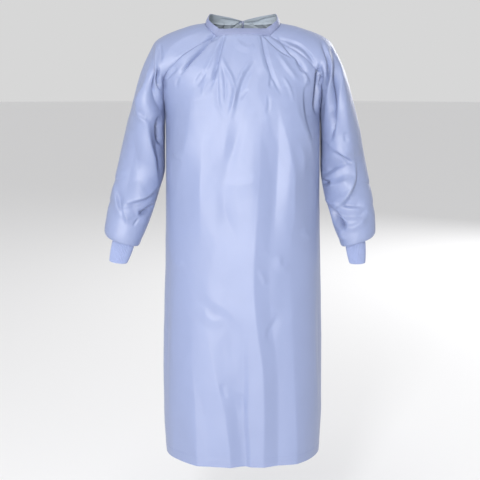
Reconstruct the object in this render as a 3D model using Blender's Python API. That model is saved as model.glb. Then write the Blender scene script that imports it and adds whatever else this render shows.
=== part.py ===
"""Surgical gown with raglan sleeves, open down the back, in its worn form.

The origin is the middle of the neck opening, level with its sides. +Z is up, the front faces -Y
and the wearer's left is +X. Each piece of cloth is a grid of points: its rows come from the tables
of sections below, its folds from the tables of folds, and the grid becomes a wall of cloth.
"""

import math
from collections import namedtuple

import bmesh
import bpy
import numpy as np
from mathutils import Vector
from mathutils.bvhtree import BVHTree

# Cloth, in metres
CLOTH = 0.0015
CUFF_KNIT = 0.002
SEAM_GAP = 0.0003
MOST_THICKENING = 1.5

# Fineness of the grids
YOKE_ROWS = 12
BODY_ROWS = 15
ARM_ROWS = 16
FRONT_COLUMNS = 28
BACK_COLUMNS = 13
SLEEVE_COLUMNS = 20
CUFF_ROWS = 3
GATHERED_ROWS = 3
FINE_STEPS = 160

# Lap of the back panels. At the neck each stops NECK_SLIT short of the centre, and lower down it
# passes the centre by LAP. The begin and full places are on the scale "at" of the sections.
NECK_SLIT = 0.003
LAP = 0.030
LAP_BEGINS = 0.12
LAP_FULL = 0.35

# The left back panel lies outside: it is raised by LIFT out to LIFT_FULL_X, and not past LIFT_NONE_X
LIFT = 0.006
LIFT_BEGINS = 0.05
LIFT_FULL = 0.16
LIFT_FULL_X = 0.045
LIFT_NONE_X = 0.105

# Ties
TIE_WIDTH = 0.010
TIE_CLEARANCE = 0.0004
TIE_SIDE_GAP = 0.0006
NECK_TIE_TOP = 0.006
NECK_TIE_END = -0.210
NECK_KNOT_Z = -0.016
NECK_TIE_BENDS = (-0.030, -0.095)
NECK_TIE_SPREAD = 0.008
WAIST_Z = -0.420
WAIST_KNOT_X = -0.088
WAIST_TIE_DROP = 0.340
WAIST_TIE_LEFT_START = -0.022
WAIST_TIE_RIGHT_START = -0.150
WAIST_BEND = 0.012
WAIST_BEND_STEPS = 4
WAIST_TIE_SPREAD = 0.013
WAIST_TIE_SPREAD_DROP = 0.110
TIE_STEP = 0.008

# Knots: a wrap round both ties, by share of its height and how full it is there
KNOT_HEIGHT = 0.013
KNOT_WRAP = 0.0026
KNOT_SIDES = 16
KNOT_SQUARENESS = 0.7
KNOT_SHAPE = ((0.0, 0.45), (0.25, 0.9), (0.6, 1.0), (1.0, 0.5))

# Borders that turn by more than this are square corners
SQUARE_CORNER = math.radians(60)
EDGE_TOLERANCE = 0.00001
WELDS_PER_METRE = 1000000

PERIWINKLE = (0.52, 0.60, 0.83, 1.0)
CUFF_BLUE = (0.46, 0.53, 0.79, 1.0)
TIE_BLUE = (0.50, 0.58, 0.82, 1.0)

# Sections. "at" is 0 at the neck seam, 1 at the underarm and 2 at the hem or the cuff.
Place = namedtuple("Place", "at x y z")
Raglan = namedtuple("Raglan", "at x z depth opening")
Middle = namedtuple("Middle", "at y z wrap exponent")
Arm = namedtuple("Arm", "at outer_x outer_z inner_x inner_z middle_y front_depth back_depth")
CuffEnd = namedtuple("CuffEnd", "outer_x outer_z inner_x inner_z middle_y depth")
Band = namedtuple("Band", "angle rise lean")

# Top line of the shoulder and the yoke part of the sleeve
RIDGE = (
    Place(0.000, 0.1045, 0.000, 0.0000),
    Place(0.163, 0.1600, 0.002, -0.0135),
    Place(0.335, 0.2165, 0.004, -0.0340),
    Place(0.447, 0.2490, 0.005, -0.0535),
    Place(0.550, 0.2680, 0.006, -0.0850),
    Place(0.722, 0.2930, 0.008, -0.1400),
    Place(1.000, 0.3200, 0.010, -0.2330),
)

# Raglan seams, with the depth of the sleeve's oval there and where on the oval they lie, in degrees
FRONT_RAGLAN = (
    Raglan(0.000, 0.0740, -0.0370, 0.0684, 115),
    Raglan(0.436, 0.1900, -0.1150, 0.0880, 90),
    Raglan(0.637, 0.2235, -0.1660, 0.0920, 50),
    Raglan(0.820, 0.2250, -0.2130, 0.0940, 30),
    Raglan(1.000, 0.2235, -0.2600, 0.0950, 0),
)
BACK_RAGLAN = (
    Raglan(0.000, 0.0620, -0.0040, 0.0640, 115),
    Raglan(0.436, 0.1800, -0.0850, 0.0830, 90),
    Raglan(0.637, 0.2180, -0.1430, 0.0860, 55),
    Raglan(0.820, 0.2245, -0.2010, 0.0860, 32),
    Raglan(1.000, 0.2235, -0.2600, 0.0850, 0),
)

# Centre lines of the front and the back, with how far each row wraps to the side, in degrees
CHEST = (
    Middle(0.000, -0.0750, -0.0360, 35, 2.2),
    Middle(0.250, -0.0930, -0.0760, 42, 2.2),
    Middle(0.436, -0.1060, -0.1150, 50, 2.3),
    Middle(0.637, -0.1190, -0.1660, 62, 2.35),
    Middle(0.820, -0.1290, -0.2130, 74, 2.4),
    Middle(1.000, -0.1370, -0.2600, 90, 2.4),
    Middle(1.238, -0.1450, -0.5000, 90, 2.4),
    Middle(1.535, -0.1510, -0.8000, 90, 2.45),
    Middle(2.000, -0.1630, -1.2700, 90, 2.5),
)
SPINE = (
    Middle(0.000, 0.0700, -0.0050, 35, 2.2),
    Middle(0.250, 0.0870, -0.0450, 42, 2.2),
    Middle(0.436, 0.1010, -0.0880, 50, 2.3),
    Middle(0.637, 0.1130, -0.1480, 62, 2.35),
    Middle(0.820, 0.1200, -0.2030, 74, 2.4),
    Middle(1.000, 0.1240, -0.2600, 90, 2.4),
    Middle(1.238, 0.1220, -0.5000, 90, 2.4),
    Middle(1.535, 0.1340, -0.8000, 90, 2.45),
    Middle(2.000, 0.1600, -1.2700, 90, 2.5),
)
SIDE_SEAM = (
    Place(1.000, 0.2235, 0.010, -0.2600),
    Place(1.249, 0.2250, 0.008, -0.5110),
    Place(1.366, 0.2275, 0.006, -0.6300),
    Place(1.545, 0.2325, 0.003, -0.8100),
    Place(1.699, 0.2365, 0.000, -0.9655),
    Place(1.854, 0.2380, 0.000, -1.1220),
    Place(1.948, 0.2352, 0.000, -1.2160),
    Place(2.000, 0.2315, 0.000, -1.2660),
)

# Sleeves below the underarm, each ring from its outer to its inner point
RIGHT_ARM = (
    Arm(1.000, 0.3200, -0.2330, 0.2235, -0.2600, 0.010, 0.095, 0.085),
    Arm(1.100, 0.3310, -0.2690, 0.2262, -0.2970, 0.016, 0.087, 0.080),
    Arm(1.200, 0.3415, -0.3050, 0.2268, -0.3340, 0.020, 0.080, 0.074),
    Arm(1.400, 0.3590, -0.3780, 0.2275, -0.4120, 0.020, 0.068, 0.064),
    Arm(1.600, 0.3755, -0.4520, 0.2460, -0.4870, 0.005, 0.056, 0.055),
    Arm(1.750, 0.3885, -0.5080, 0.2645, -0.5460, -0.008, 0.051, 0.050),
    Arm(1.870, 0.3990, -0.5620, 0.2805, -0.5900, -0.018, 0.048, 0.047),
    Arm(1.940, 0.4035, -0.5960, 0.2945, -0.6200, -0.024, 0.044, 0.043),
    Arm(1.985, 0.3950, -0.6155, 0.3075, -0.6425, -0.026, 0.038, 0.037),
    Arm(2.000, 0.3786, -0.6190, 0.3165, -0.6370, -0.027, 0.029, 0.029),
)
LEFT_ARM = RIGHT_ARM[:3] + (
    Arm(1.400, 0.3560, -0.3780, 0.2275, -0.4120, 0.020, 0.068, 0.064),
    Arm(1.600, 0.3718, -0.4520, 0.2375, -0.4870, 0.005, 0.056, 0.055),
    Arm(1.750, 0.3815, -0.5080, 0.2560, -0.5460, -0.008, 0.051, 0.050),
    Arm(1.870, 0.3875, -0.5600, 0.2690, -0.5900, -0.018, 0.048, 0.047),
    Arm(1.940, 0.3890, -0.5975, 0.2815, -0.6200, -0.024, 0.044, 0.043),
    Arm(1.985, 0.3810, -0.6155, 0.2920, -0.6425, -0.026, 0.038, 0.037),
    Arm(2.000, 0.3575, -0.6200, 0.3010, -0.6370, -0.027, 0.029, 0.029),
)
CUFF_ENDS = {
    "right": CuffEnd(0.3905, -0.6860, 0.3395, -0.6935, -0.030, 0.026),
    "left": CuffEnd(0.3590, -0.6915, 0.3135, -0.6935, -0.030, 0.025),
}

# Neck band by the angle round from the front: how far it rises and leans in
NECK_BAND = (
    Band(0, 0.0165, 0.0150),
    Band(50, 0.0190, 0.0130),
    Band(90, 0.0240, 0.0120),
    Band(130, 0.0225, 0.0100),
    Band(165, 0.0150, 0.0060),
    Band(180, 0.0100, 0.0030),
)
BAND_BULGE = 0.0012

# Folds. Each runs along its points, given as x and z, on the cloth's front or back. A depth below
# zero is a trough, and the width is from its middle to where it has mostly faded.
Fold = namedtuple("Fold", "cloth face depth width points")
YOKE = ("front_panel", "sleeve_left", "sleeve_right")
BACK_YOKE = ("back_panel_left", "back_panel_right", "sleeve_left", "sleeve_right")
FRONT = ("front_panel",)
BACK = ("back_panel_left", "back_panel_right")
RIGHT = ("sleeve_right",)
LEFT = ("sleeve_left",)
FOLDS = (
    # Pleats from the neck seam
    Fold(YOKE, "front", -0.0060, 0.0070, ((-0.083, -0.040), (-0.174, -0.146))),
    Fold(YOKE, "front", 0.0040, 0.0090, ((-0.070, -0.040), (-0.150, -0.150))),
    Fold(FRONT, "front", -0.0050, 0.0070, ((-0.054, -0.047), (-0.081, -0.156), (-0.092, -0.192))),
    Fold(FRONT, "front", -0.0050, 0.0070, ((0.056, -0.041), (0.063, -0.082), (0.079, -0.154))),
    Fold(
        YOKE, "front", -0.0060, 0.0070,
        ((0.060, -0.041), (0.113, -0.088), (0.150, -0.110), (0.215, -0.130)),
    ),
    Fold(YOKE, "front", -0.0060, 0.0070, ((0.105, -0.047), (0.176, -0.074), (0.205, -0.118))),
    Fold(
        FRONT, "front", -0.0040, 0.0090,
        ((0.027, -0.107), (-0.001, -0.156), (-0.015, -0.202), (-0.056, -0.257)),
    ),
    Fold(BACK_YOKE, "back", -0.0060, 0.0080, ((-0.060, -0.010), (-0.140, -0.110))),
    Fold(BACK_YOKE, "back", -0.0050, 0.0080, ((0.070, -0.012), (0.160, -0.120))),
    Fold(BACK, "back", -0.0050, 0.0080, ((-0.035, -0.012), (-0.070, -0.140))),
    Fold(BACK, "back", -0.0050, 0.0080, ((0.040, -0.012), (0.085, -0.150))),
    # Folds down from the armholes
    Fold(
        RIGHT, "front", -0.0100, 0.0110,
        ((-0.253, -0.079), (-0.251, -0.118), (-0.237, -0.199), (-0.228, -0.238)),
    ),
    Fold(LEFT, "front", -0.0060, 0.0090, ((0.235, -0.068), (0.247, -0.126), (0.233, -0.207))),
    Fold(
        LEFT, "front", -0.0100, 0.0140,
        ((0.269, -0.107), (0.275, -0.154), (0.268, -0.221), (0.260, -0.261)),
    ),
    Fold(RIGHT, "back", -0.0090, 0.0120, ((-0.262, -0.080), (-0.268, -0.140), (-0.258, -0.230))),
    Fold(LEFT, "back", -0.0090, 0.0120, ((0.258, -0.075), (0.266, -0.150), (0.256, -0.240))),
    Fold(FRONT, "front", -0.0120, 0.0200, ((0.178, -0.180), (0.188, -0.250), (0.204, -0.330))),
    Fold(FRONT, "front", -0.0080, 0.0200, ((-0.175, -0.180), (-0.180, -0.260), (-0.196, -0.380))),
    Fold(BACK, "back", -0.0100, 0.0220, ((0.182, -0.180), (0.186, -0.270), (0.196, -0.380))),
    Fold(BACK, "back", -0.0100, 0.0220, ((-0.178, -0.170), (-0.184, -0.270), (-0.198, -0.400))),
    # Long folds down the skirt
    Fold(FRONT, "front", 0.0060, 0.0220, ((0.016, -0.230), (0.014, -0.634), (0.022, -1.180))),
    Fold(FRONT, "front", -0.0070, 0.0300, ((0.066, -0.200), (0.067, -0.778), (0.078, -1.200))),
    Fold(FRONT, "front", 0.0050, 0.0160, ((0.143, -0.520), (0.145, -1.200))),
    Fold(FRONT, "front", 0.0060, 0.0220, ((-0.100, -0.640), (-0.104, -1.200))),
    Fold(FRONT, "front", -0.0050, 0.0240, ((-0.058, -0.720), (-0.055, -1.200))),
    Fold(FRONT, "front", -0.0060, 0.0260, ((-0.165, -0.480), (-0.162, -1.180))),
    Fold(FRONT, "front", -0.0040, 0.0110, ((-0.114, -0.751), (-0.021, -0.809), (0.002, -0.852))),
    Fold(BACK, "back", 0.0060, 0.0260, ((0.110, -0.300), (0.120, -1.200))),
    Fold(BACK, "back", -0.0070, 0.0280, ((0.165, -0.420), (0.170, -1.200))),
    Fold(BACK, "back", 0.0050, 0.0240, ((-0.120, -0.600), (-0.128, -1.200))),
    Fold(BACK, "back", -0.0060, 0.0280, ((-0.170, -0.420), (-0.176, -1.200))),
    # Creases of the sleeves
    Fold(RIGHT, "front", -0.0060, 0.0120, ((-0.292, -0.213), (-0.297, -0.241), (-0.259, -0.286))),
    Fold(RIGHT, "front", -0.0060, 0.0120, ((-0.347, -0.518), (-0.270, -0.497))),
    Fold(RIGHT, "front", -0.0050, 0.0090, ((-0.364, -0.507), (-0.354, -0.556), (-0.322, -0.576))),
    Fold(RIGHT, "back", -0.0060, 0.0120, ((-0.335, -0.470), (-0.270, -0.500))),
    Fold(RIGHT, "back", -0.0050, 0.0120, ((-0.375, -0.530), (-0.300, -0.560))),
    Fold(LEFT, "front", -0.0070, 0.0120, ((0.258, -0.542), (0.315, -0.589))),
    Fold(LEFT, "front", 0.0050, 0.0110, ((0.331, -0.398), (0.328, -0.451), (0.284, -0.532))),
    Fold(LEFT, "front", -0.0050, 0.0120, ((0.281, -0.360), (0.325, -0.394))),
    Fold(LEFT, "back", -0.0060, 0.0120, ((0.340, -0.460), (0.270, -0.505))),
    Fold(LEFT, "back", -0.0050, 0.0120, ((0.365, -0.540), (0.290, -0.575))),
)
# A fold swells and fades over FOLD_TAPER of its length, from FOLD_START of its depth. FACING_SLOPE
# is how fast it comes in as the cloth turns to face its side.
FOLD_TAPER = 0.25
FOLD_START = 0.35
FACING_SLOPE = 2.5


def smooth_curve(known_at, known, at):
    """Values at the places asked for, on a smooth curve that never overshoots the known ones."""
    known_at = np.asarray(known_at, float)
    known = np.asarray(known, float)
    at = np.asarray(at, float)
    steps = np.diff(known_at)
    slopes = np.diff(known) / steps
    tangents = np.empty(len(known))
    tangents[0] = slopes[0]
    tangents[-1] = slopes[-1]
    product = slopes[:-1] * slopes[1:]
    total = slopes[:-1] + slopes[1:]
    safe_total = np.where(product > 0, total, 1.0)
    tangents[1:-1] = np.where(product > 0, 2 * product / safe_total, 0.0)
    index = np.clip(np.searchsorted(known_at, at, side="right") - 1, 0, len(steps) - 1)
    step = steps[index]
    t = (at - known_at[index]) / step
    start = (1 + 2 * t) * (1 - t) ** 2 * known[index]
    end = t**2 * (3 - 2 * t) * known[index + 1]
    start_slope = t * (1 - t) ** 2 * step * tangents[index]
    end_slope = t**2 * (t - 1) * step * tangents[index + 1]
    return start + end + start_slope + end_slope


def column(table, name, at):
    """The named column of a table of sections, read at one place."""
    known_at = [section[0] for section in table]
    known = [getattr(section, name) for section in table]
    return float(smooth_curve(known_at, known, at))


def evenly(points, count):
    """The same line as count equal steps."""
    lengths = np.linalg.norm(np.diff(points, axis=0), axis=1)
    along = np.concatenate([[0.0], np.cumsum(lengths)])
    wanted = np.linspace(0.0, along[-1], count + 1)
    line = np.stack([np.interp(wanted, along, points[:, axis]) for axis in range(3)], axis=1)
    line[0] = points[0]
    line[-1] = points[-1]
    return line


def ridge_point(at):
    return np.array([column(RIDGE, "x", at), column(RIDGE, "y", at), column(RIDGE, "z", at)])


def seam_point(raglan, at, face):
    """A point of a raglan seam, or of the side seam lower down. face is -1 in front, 1 behind."""
    if at >= 1:
        return np.array([column(SIDE_SEAM, name, at) for name in ("x", "y", "z")])
    opening = math.radians(column(raglan, "opening", at))
    depth = column(raglan, "depth", at) * math.sin(opening)
    y = column(RIDGE, "y", at) + face * depth
    return np.array([column(raglan, "x", at), y, column(raglan, "z", at)])


def half_row(middles, raglan, at, face):
    """Half a row of the front or the back, from its centre line out to the seam at +X."""
    seam = seam_point(raglan, at, face)
    middle_y = column(middles, "y", at)
    middle_z = column(middles, "z", at)
    power = 2 / column(middles, "exponent", at)
    wrap = math.radians(column(middles, "wrap", at))
    angle = np.linspace(0.0, wrap, FINE_STEPS + 1)
    across = np.sin(angle) ** power
    round_side = np.maximum(np.cos(angle), 0.0) ** power
    x = seam[0] * across / across[-1]
    y = middle_y + (seam[1] - middle_y) * (1 - round_side) / (1 - round_side[-1])
    z = middle_z + (seam[2] - middle_z) * (x / seam[0]) ** 2
    line = np.stack([x, y, z], axis=1)
    line[-1] = seam
    return line


def mirrored(points):
    return points * np.array([-1.0, 1.0, 1.0])


def panel_positions():
    """Where the rows of the front and back lie, from the neck seam to the hem."""
    yoke = np.linspace(0.0, 1.0, YOKE_ROWS + 1)
    body = np.linspace(1.0, 2.0, BODY_ROWS + 1)
    return np.concatenate([yoke, body[1:]])


def front_grid():
    rows = []
    for at in panel_positions():
        half = evenly(half_row(CHEST, FRONT_RAGLAN, at, -1), FRONT_COLUMNS // 2)
        rows.append(np.concatenate([mirrored(half[:0:-1]), half]))
    return np.array(rows)


def lap_reach(at):
    """How far past the centre a back panel reaches."""
    return eased((at - LAP_BEGINS) / (LAP_FULL - LAP_BEGINS)) * (NECK_SLIT + LAP) - NECK_SLIT


def lap_lift(at):
    return eased((at - LIFT_BEGINS) / (LIFT_FULL - LIFT_BEGINS)) * LIFT


def back_grid():
    """The wearer's left back panel, from the side seam to its edge at the lap."""
    rows = []
    for at in panel_positions():
        half = half_row(SPINE, BACK_RAGLAN, at, 1)
        whole = np.concatenate([half[::-1], mirrored(half[1:])])
        edge_x = -lap_reach(at)
        kept = whole[whole[:, 0] > edge_x + EDGE_TOLERANCE]
        order = np.argsort(whole[:, 0])
        edge = [np.interp(edge_x, whole[order, 0], whole[order, axis]) for axis in range(3)]
        rows.append(evenly(np.concatenate([kept, [edge]]), BACK_COLUMNS))
    return np.array(rows)


def lifted(grid):
    """The outer back panel stands off the inner one where they lap."""
    raised = grid.copy()
    for row, at in zip(raised, panel_positions()):
        near = eased((LIFT_NONE_X - row[:, 0]) / (LIFT_NONE_X - LIFT_FULL_X))
        row[:, 1] += lap_lift(at) * near
    return raised


def sleeve_half(seam, ridge, depth, opening, face):
    """Half of a sleeve's row, on an oval from a seam point round to the outermost point."""
    angle = np.linspace(opening, math.pi, FINE_STEPS + 1)
    spread = (math.cos(opening) - np.cos(angle)) / (1 + math.cos(opening))
    line = seam + spread[:, None] * (ridge - seam)
    line[:, 1] = ridge[1] + face * depth * np.sin(angle)
    line[0] = seam
    line[-1] = ridge
    return evenly(line, SLEEVE_COLUMNS // 2)


def sleeve_row(arm, at):
    """One row of the wearer's left sleeve, from its front seam over the outside to its back seam."""
    if at < 1:
        ridge = ridge_point(at)
        front = seam_point(FRONT_RAGLAN, at, -1)
        back = seam_point(BACK_RAGLAN, at, 1)
        front_depth = column(FRONT_RAGLAN, "depth", at)
        back_depth = column(BACK_RAGLAN, "depth", at)
        front_opening = math.radians(column(FRONT_RAGLAN, "opening", at))
        back_opening = math.radians(column(BACK_RAGLAN, "opening", at))
    else:
        middle_y = column(arm, "middle_y", at)
        ridge = np.array([column(arm, "outer_x", at), middle_y, column(arm, "outer_z", at)])
        front = np.array([column(arm, "inner_x", at), middle_y, column(arm, "inner_z", at)])
        back = front
        front_depth = column(arm, "front_depth", at)
        back_depth = column(arm, "back_depth", at)
        front_opening = 0.0
        back_opening = 0.0
    front_half = sleeve_half(front, ridge, front_depth, front_opening, -1)
    back_half = sleeve_half(back, ridge, back_depth, back_opening, 1)
    return np.concatenate([front_half, back_half[-2::-1]])


def sleeve_grid(arm):
    yoke = np.linspace(0.0, 1.0, YOKE_ROWS + 1)
    below = np.linspace(1.0, arm[-3].at, ARM_ROWS - GATHERED_ROWS)
    gathered = np.linspace(arm[-3].at, 2.0, GATHERED_ROWS + 1)
    positions = np.concatenate([yoke, below[1:], gathered[1:]])
    return np.array([sleeve_row(arm, at) for at in positions])


def cuff_grid(sleeve, end):
    """A cuff, from the last row of its sleeve to its own end."""
    outer = np.array([end.outer_x, end.middle_y, end.outer_z])
    inner = np.array([end.inner_x, end.middle_y, end.inner_z])
    front = sleeve_half(inner, outer, end.depth, 0.0, -1)
    back = sleeve_half(inner, outer, end.depth, 0.0, 1)
    bottom = np.concatenate([front, back[-2::-1]])
    share = np.linspace(0.0, 1.0, CUFF_ROWS + 1)[:, None, None]
    return (1 - share) * sleeve[-1] + share * bottom


def band_grid(seam_line):
    """The neck band, from its top edge down to the neck seam."""
    angle = np.degrees(np.arctan2(np.abs(seam_line[:, 0]), -seam_line[:, 1]))
    known = [section.angle for section in NECK_BAND]
    rise = smooth_curve(known, [section.rise for section in NECK_BAND], angle)
    lean = smooth_curve(known, [section.lean for section in NECK_BAND], angle)
    outwards = seam_line * np.array([1.0, 1.0, 0.0])
    outwards /= np.linalg.norm(outwards, axis=1)[:, None]
    upwards = np.array([0.0, 0.0, 1.0])
    top = seam_line + rise[:, None] * upwards - lean[:, None] * outwards
    middle = (seam_line + top) / 2 + BAND_BULGE * outwards
    return np.array([top, middle, seam_line])


def grid_faces(rows, columns, first_closed_row=None):
    """Quads of a grid. From first_closed_row down, its last column is its first one."""

    def number(row, place):
        closed = first_closed_row is not None and row >= first_closed_row
        return row * columns + (0 if closed and place == columns - 1 else place)

    faces = []
    for row in range(rows - 1):
        for place in range(columns - 1):
            corners = [
                number(row, place),
                number(row + 1, place),
                number(row + 1, place + 1),
                number(row, place + 1),
            ]
            faces.append([c for i, c in enumerate(corners) if c not in corners[:i]])
    return faces


class Cloth:
    """One cut piece: the points of its outer side, its faces and the thickness of its wall."""

    def __init__(self, name, grid, thickness, material, first_closed_row=None):
        rows, columns = grid.shape[:2]
        faces = grid_faces(rows, columns, first_closed_row)
        used = sorted({corner for face in faces for corner in face})
        renumbered = {old: new for new, old in enumerate(used)}
        self.name = name
        self.points = grid.reshape(-1, 3)[used]
        self.faces = [[renumbered[corner] for corner in face] for face in faces]
        self.thickness = thickness
        self.material = material


def sewn_together(pieces):
    """One list of points for all pieces, which share those on a seam, and each piece's numbers in it."""
    everything = np.concatenate([piece.points for piece in pieces])
    keys = np.round(everything * WELDS_PER_METRE).astype(np.int64)
    _, first, index = np.unique(keys, axis=0, return_index=True, return_inverse=True)
    index = index.reshape(-1)
    numbers = []
    start = 0
    for piece in pieces:
        numbers.append(index[start : start + len(piece.points)])
        start += len(piece.points)
    return everything[first], numbers


def surface_normals(points, pieces, numbers):
    """Outward directions at the shared points, and how much longer a wall is along them at a crease."""
    total = np.zeros_like(points)
    area = np.zeros(len(points))
    for piece, number in zip(pieces, numbers):
        for face in piece.faces:
            corners = number[face]
            a, b, c = points[corners[0]], points[corners[1]], points[corners[2]]
            d = points[corners[-1]]
            normal = np.cross(c - a, d - b) if len(face) == 4 else np.cross(b - a, c - a)
            total[corners] += normal
            area[corners] += np.linalg.norm(normal)
    length = np.linalg.norm(total, axis=1)
    thickening = np.minimum(area / length, MOST_THICKENING)
    normals = total / length[:, None]
    underarm = seam_point(FRONT_RAGLAN, 1.0, -1)
    for point in (underarm, mirrored(underarm)):
        nearest = np.argmin(np.linalg.norm(points - point, axis=1))
        normals[nearest] = (0.0, 0.0, -1.0)
        thickening[nearest] = 1.0
    return normals, thickening


def line_distance(x, z, line):
    """Distance of each point to a line of corners, and how far along the line it is, from 0 to 1."""
    best = np.full(len(x), np.inf)
    along = np.zeros(len(x))
    corners = np.array(line)
    lengths = np.linalg.norm(np.diff(corners, axis=0), axis=1)
    before = np.concatenate([[0.0], np.cumsum(lengths)])
    for (x0, z0), (x1, z1), length, start in zip(corners, corners[1:], lengths, before):
        share = ((x - x0) * (x1 - x0) + (z - z0) * (z1 - z0)) / length**2
        share = np.clip(share, 0.0, 1.0)
        distance = np.hypot(x - x0 - share * (x1 - x0), z - z0 - share * (z1 - z0))
        nearer = distance < best
        best = np.where(nearer, distance, best)
        along = np.where(nearer, (start + share * length) / before[-1], along)
    return best, along


def eased(value):
    value = np.clip(value, 0.0, 1.0)
    return value**2 * (3 - 2 * value)


def relief(points, normals, belongs):
    """How far the folds move each shared point along its outward direction."""
    height = np.zeros(len(points))
    for fold in FOLDS:
        face = -1 if fold.face == "front" else 1
        facing = eased(FACING_SLOPE * face * normals[:, 1])
        member = np.any([belongs[name] for name in fold.cloth], axis=0)
        distance, along = line_distance(points[:, 0], points[:, 2], fold.points)
        ends = eased(along / FOLD_TAPER) * eased((1 - along) / FOLD_TAPER)
        ends = np.maximum(ends, FOLD_START * (along <= FOLD_TAPER))
        height += fold.depth * np.exp(-((distance / fold.width) ** 2)) * ends * facing * member
    return height


def border(faces):
    """The edges that only one face has, in the direction in which it has them."""
    edges = {}
    for face in faces:
        for a, b in zip(face, face[1:] + face[:1]):
            edges[(a, b)] = True
    return [edge for edge in edges if (edge[1], edge[0]) not in edges]


def pulled_back(points, faces, edges):
    """The points with the border moved in by half the seam's gap."""
    rim = {a for a, _ in edges}
    middles = {number: [] for number in rim}
    for face in faces:
        for corner in face:
            if corner in rim:
                middles[corner].append(points[face].mean(axis=0))
    along = {number: [] for number in rim}
    for a, b in edges:
        direction = (points[b] - points[a]) / np.linalg.norm(points[b] - points[a])
        along[a].append(direction)
        along[b].append(direction)
    moved = points.copy()
    for number in rim:
        inwards = np.mean(middles[number], axis=0) - points[number]
        first, second = along[number][0], along[number][-1]
        if np.dot(first, second) > math.cos(SQUARE_CORNER):
            tangent = first + second
            tangent /= np.linalg.norm(tangent)
            inwards = inwards - np.dot(inwards, tangent) * tangent
        moved[number] += inwards / np.linalg.norm(inwards) * SEAM_GAP / 2
    return moved


def wall_mesh(piece, points, normals, thickening):
    """A closed wall: the outer side, the inner side and the edge that joins them."""
    edges = border(piece.faces)
    outer = pulled_back(points, piece.faces, edges)
    inner = outer - normals * (piece.thickness * thickening)[:, None]
    count = len(outer)
    faces = [tuple(face) for face in piece.faces]
    faces += [tuple(corner + count for corner in reversed(face)) for face in piece.faces]
    faces += [(b, a, a + count, b + count) for a, b in edges]
    mesh = bpy.data.meshes.new(piece.name)
    mesh.from_pydata(np.concatenate([outer, inner]).tolist(), [], faces)
    mesh.update()
    return mesh


def make_material(name, colour, roughness):
    material = bpy.data.materials.new(name)
    material.use_nodes = True
    shader = material.node_tree.nodes["Principled BSDF"]
    shader.inputs["Base Color"].default_value = colour
    shader.inputs["Roughness"].default_value = roughness
    shader.inputs["Metallic"].default_value = 0.0
    return material


def add_object(name, mesh, material, collection):
    part = bpy.data.objects.new(name, mesh)
    collection.objects.link(part)
    mesh.materials.append(material)
    mesh.shade_smooth()
    mesh.set_sharp_from_angle(angle=math.radians(50))
    return part


def clear_scene():
    for item in list(bpy.data.objects):
        bpy.data.objects.remove(item, do_unlink=True)


def cut_pieces():
    """Every piece of the gown's shell, before its folds."""
    front = front_grid()
    back_left = back_grid()
    back_right = mirrored(back_left)[:, ::-1]
    sleeve_left = sleeve_grid(LEFT_ARM)
    sleeve_right = mirrored(sleeve_grid(RIGHT_ARM))[:, ::-1]
    cuff_left = cuff_grid(sleeve_left, CUFF_ENDS["left"])
    cuff_right = cuff_grid(mirrored(sleeve_right)[:, ::-1], CUFF_ENDS["right"])
    cuff_right = mirrored(cuff_right)[:, ::-1]
    neck_parts = (
        back_right[0],
        sleeve_right[0][1:],
        front[0][1:],
        sleeve_left[0][1:],
        back_left[0][1:],
    )
    band = band_grid(np.concatenate(neck_parts))
    back_left = lifted(back_left)
    fabric = ("gown_cloth", PERIWINKLE, 0.55)
    knit = ("cuff_knit", CUFF_BLUE, 0.8)
    return [
        Cloth("front_panel", front, CLOTH, fabric),
        Cloth("back_panel_left", back_left, CLOTH, fabric),
        Cloth("back_panel_right", back_right, CLOTH, fabric),
        Cloth("sleeve_left", sleeve_left, CLOTH, fabric, YOKE_ROWS),
        Cloth("sleeve_right", sleeve_right, CLOTH, fabric, YOKE_ROWS),
        Cloth("neck_band", band, CLOTH, fabric),
        Cloth("cuff_left", cuff_left, CUFF_KNIT, knit, 0),
        Cloth("cuff_right", cuff_right, CUFF_KNIT, knit, 0),
    ]


def make_shell(collection):
    """The folded walls of the shell. Gives back the outer surface of the back panels."""
    pieces = cut_pieces()
    points, numbers = sewn_together(pieces)
    normals, _ = surface_normals(points, pieces, numbers)
    belongs = {}
    for piece, number in zip(pieces, numbers):
        belongs[piece.name] = np.isin(np.arange(len(points)), number)
    points = points + normals * relief(points, normals, belongs)[:, None]
    normals, thickening = surface_normals(points, pieces, numbers)
    backs = []
    for piece, number in zip(pieces, numbers):
        mesh = wall_mesh(piece, points[number], normals[number], thickening[number])
        name, colour, roughness = piece.material
        material = make_material(piece.name + "_" + name, colour, roughness)
        add_object(piece.name, mesh, material, collection)
        if piece.name in BACK or piece.name == "neck_band":
            backs.append(BVHTree.FromPolygons(points[number].tolist(), piece.faces))
    return backs


def back_y(surfaces, x, z):
    """How far back the cloth reaches at x and z, or nothing where there is none."""
    hits = [tree.ray_cast(Vector((x, 1.0, z)), Vector((0.0, -1.0, 0.0)))[0] for tree in surfaces]
    return max((hit.y for hit in hits if hit is not None), default=-math.inf)


def stepped(corners):
    """A route of x and z through its corners, in steps of about TIE_STEP."""
    corners = np.array(corners)
    flat = np.stack([corners[:, 0], np.zeros(len(corners)), corners[:, 1]], axis=1)
    length = np.linalg.norm(np.diff(flat, axis=0), axis=1).sum()
    return evenly(flat, round(length / TIE_STEP))[:, [0, 2]]


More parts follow.
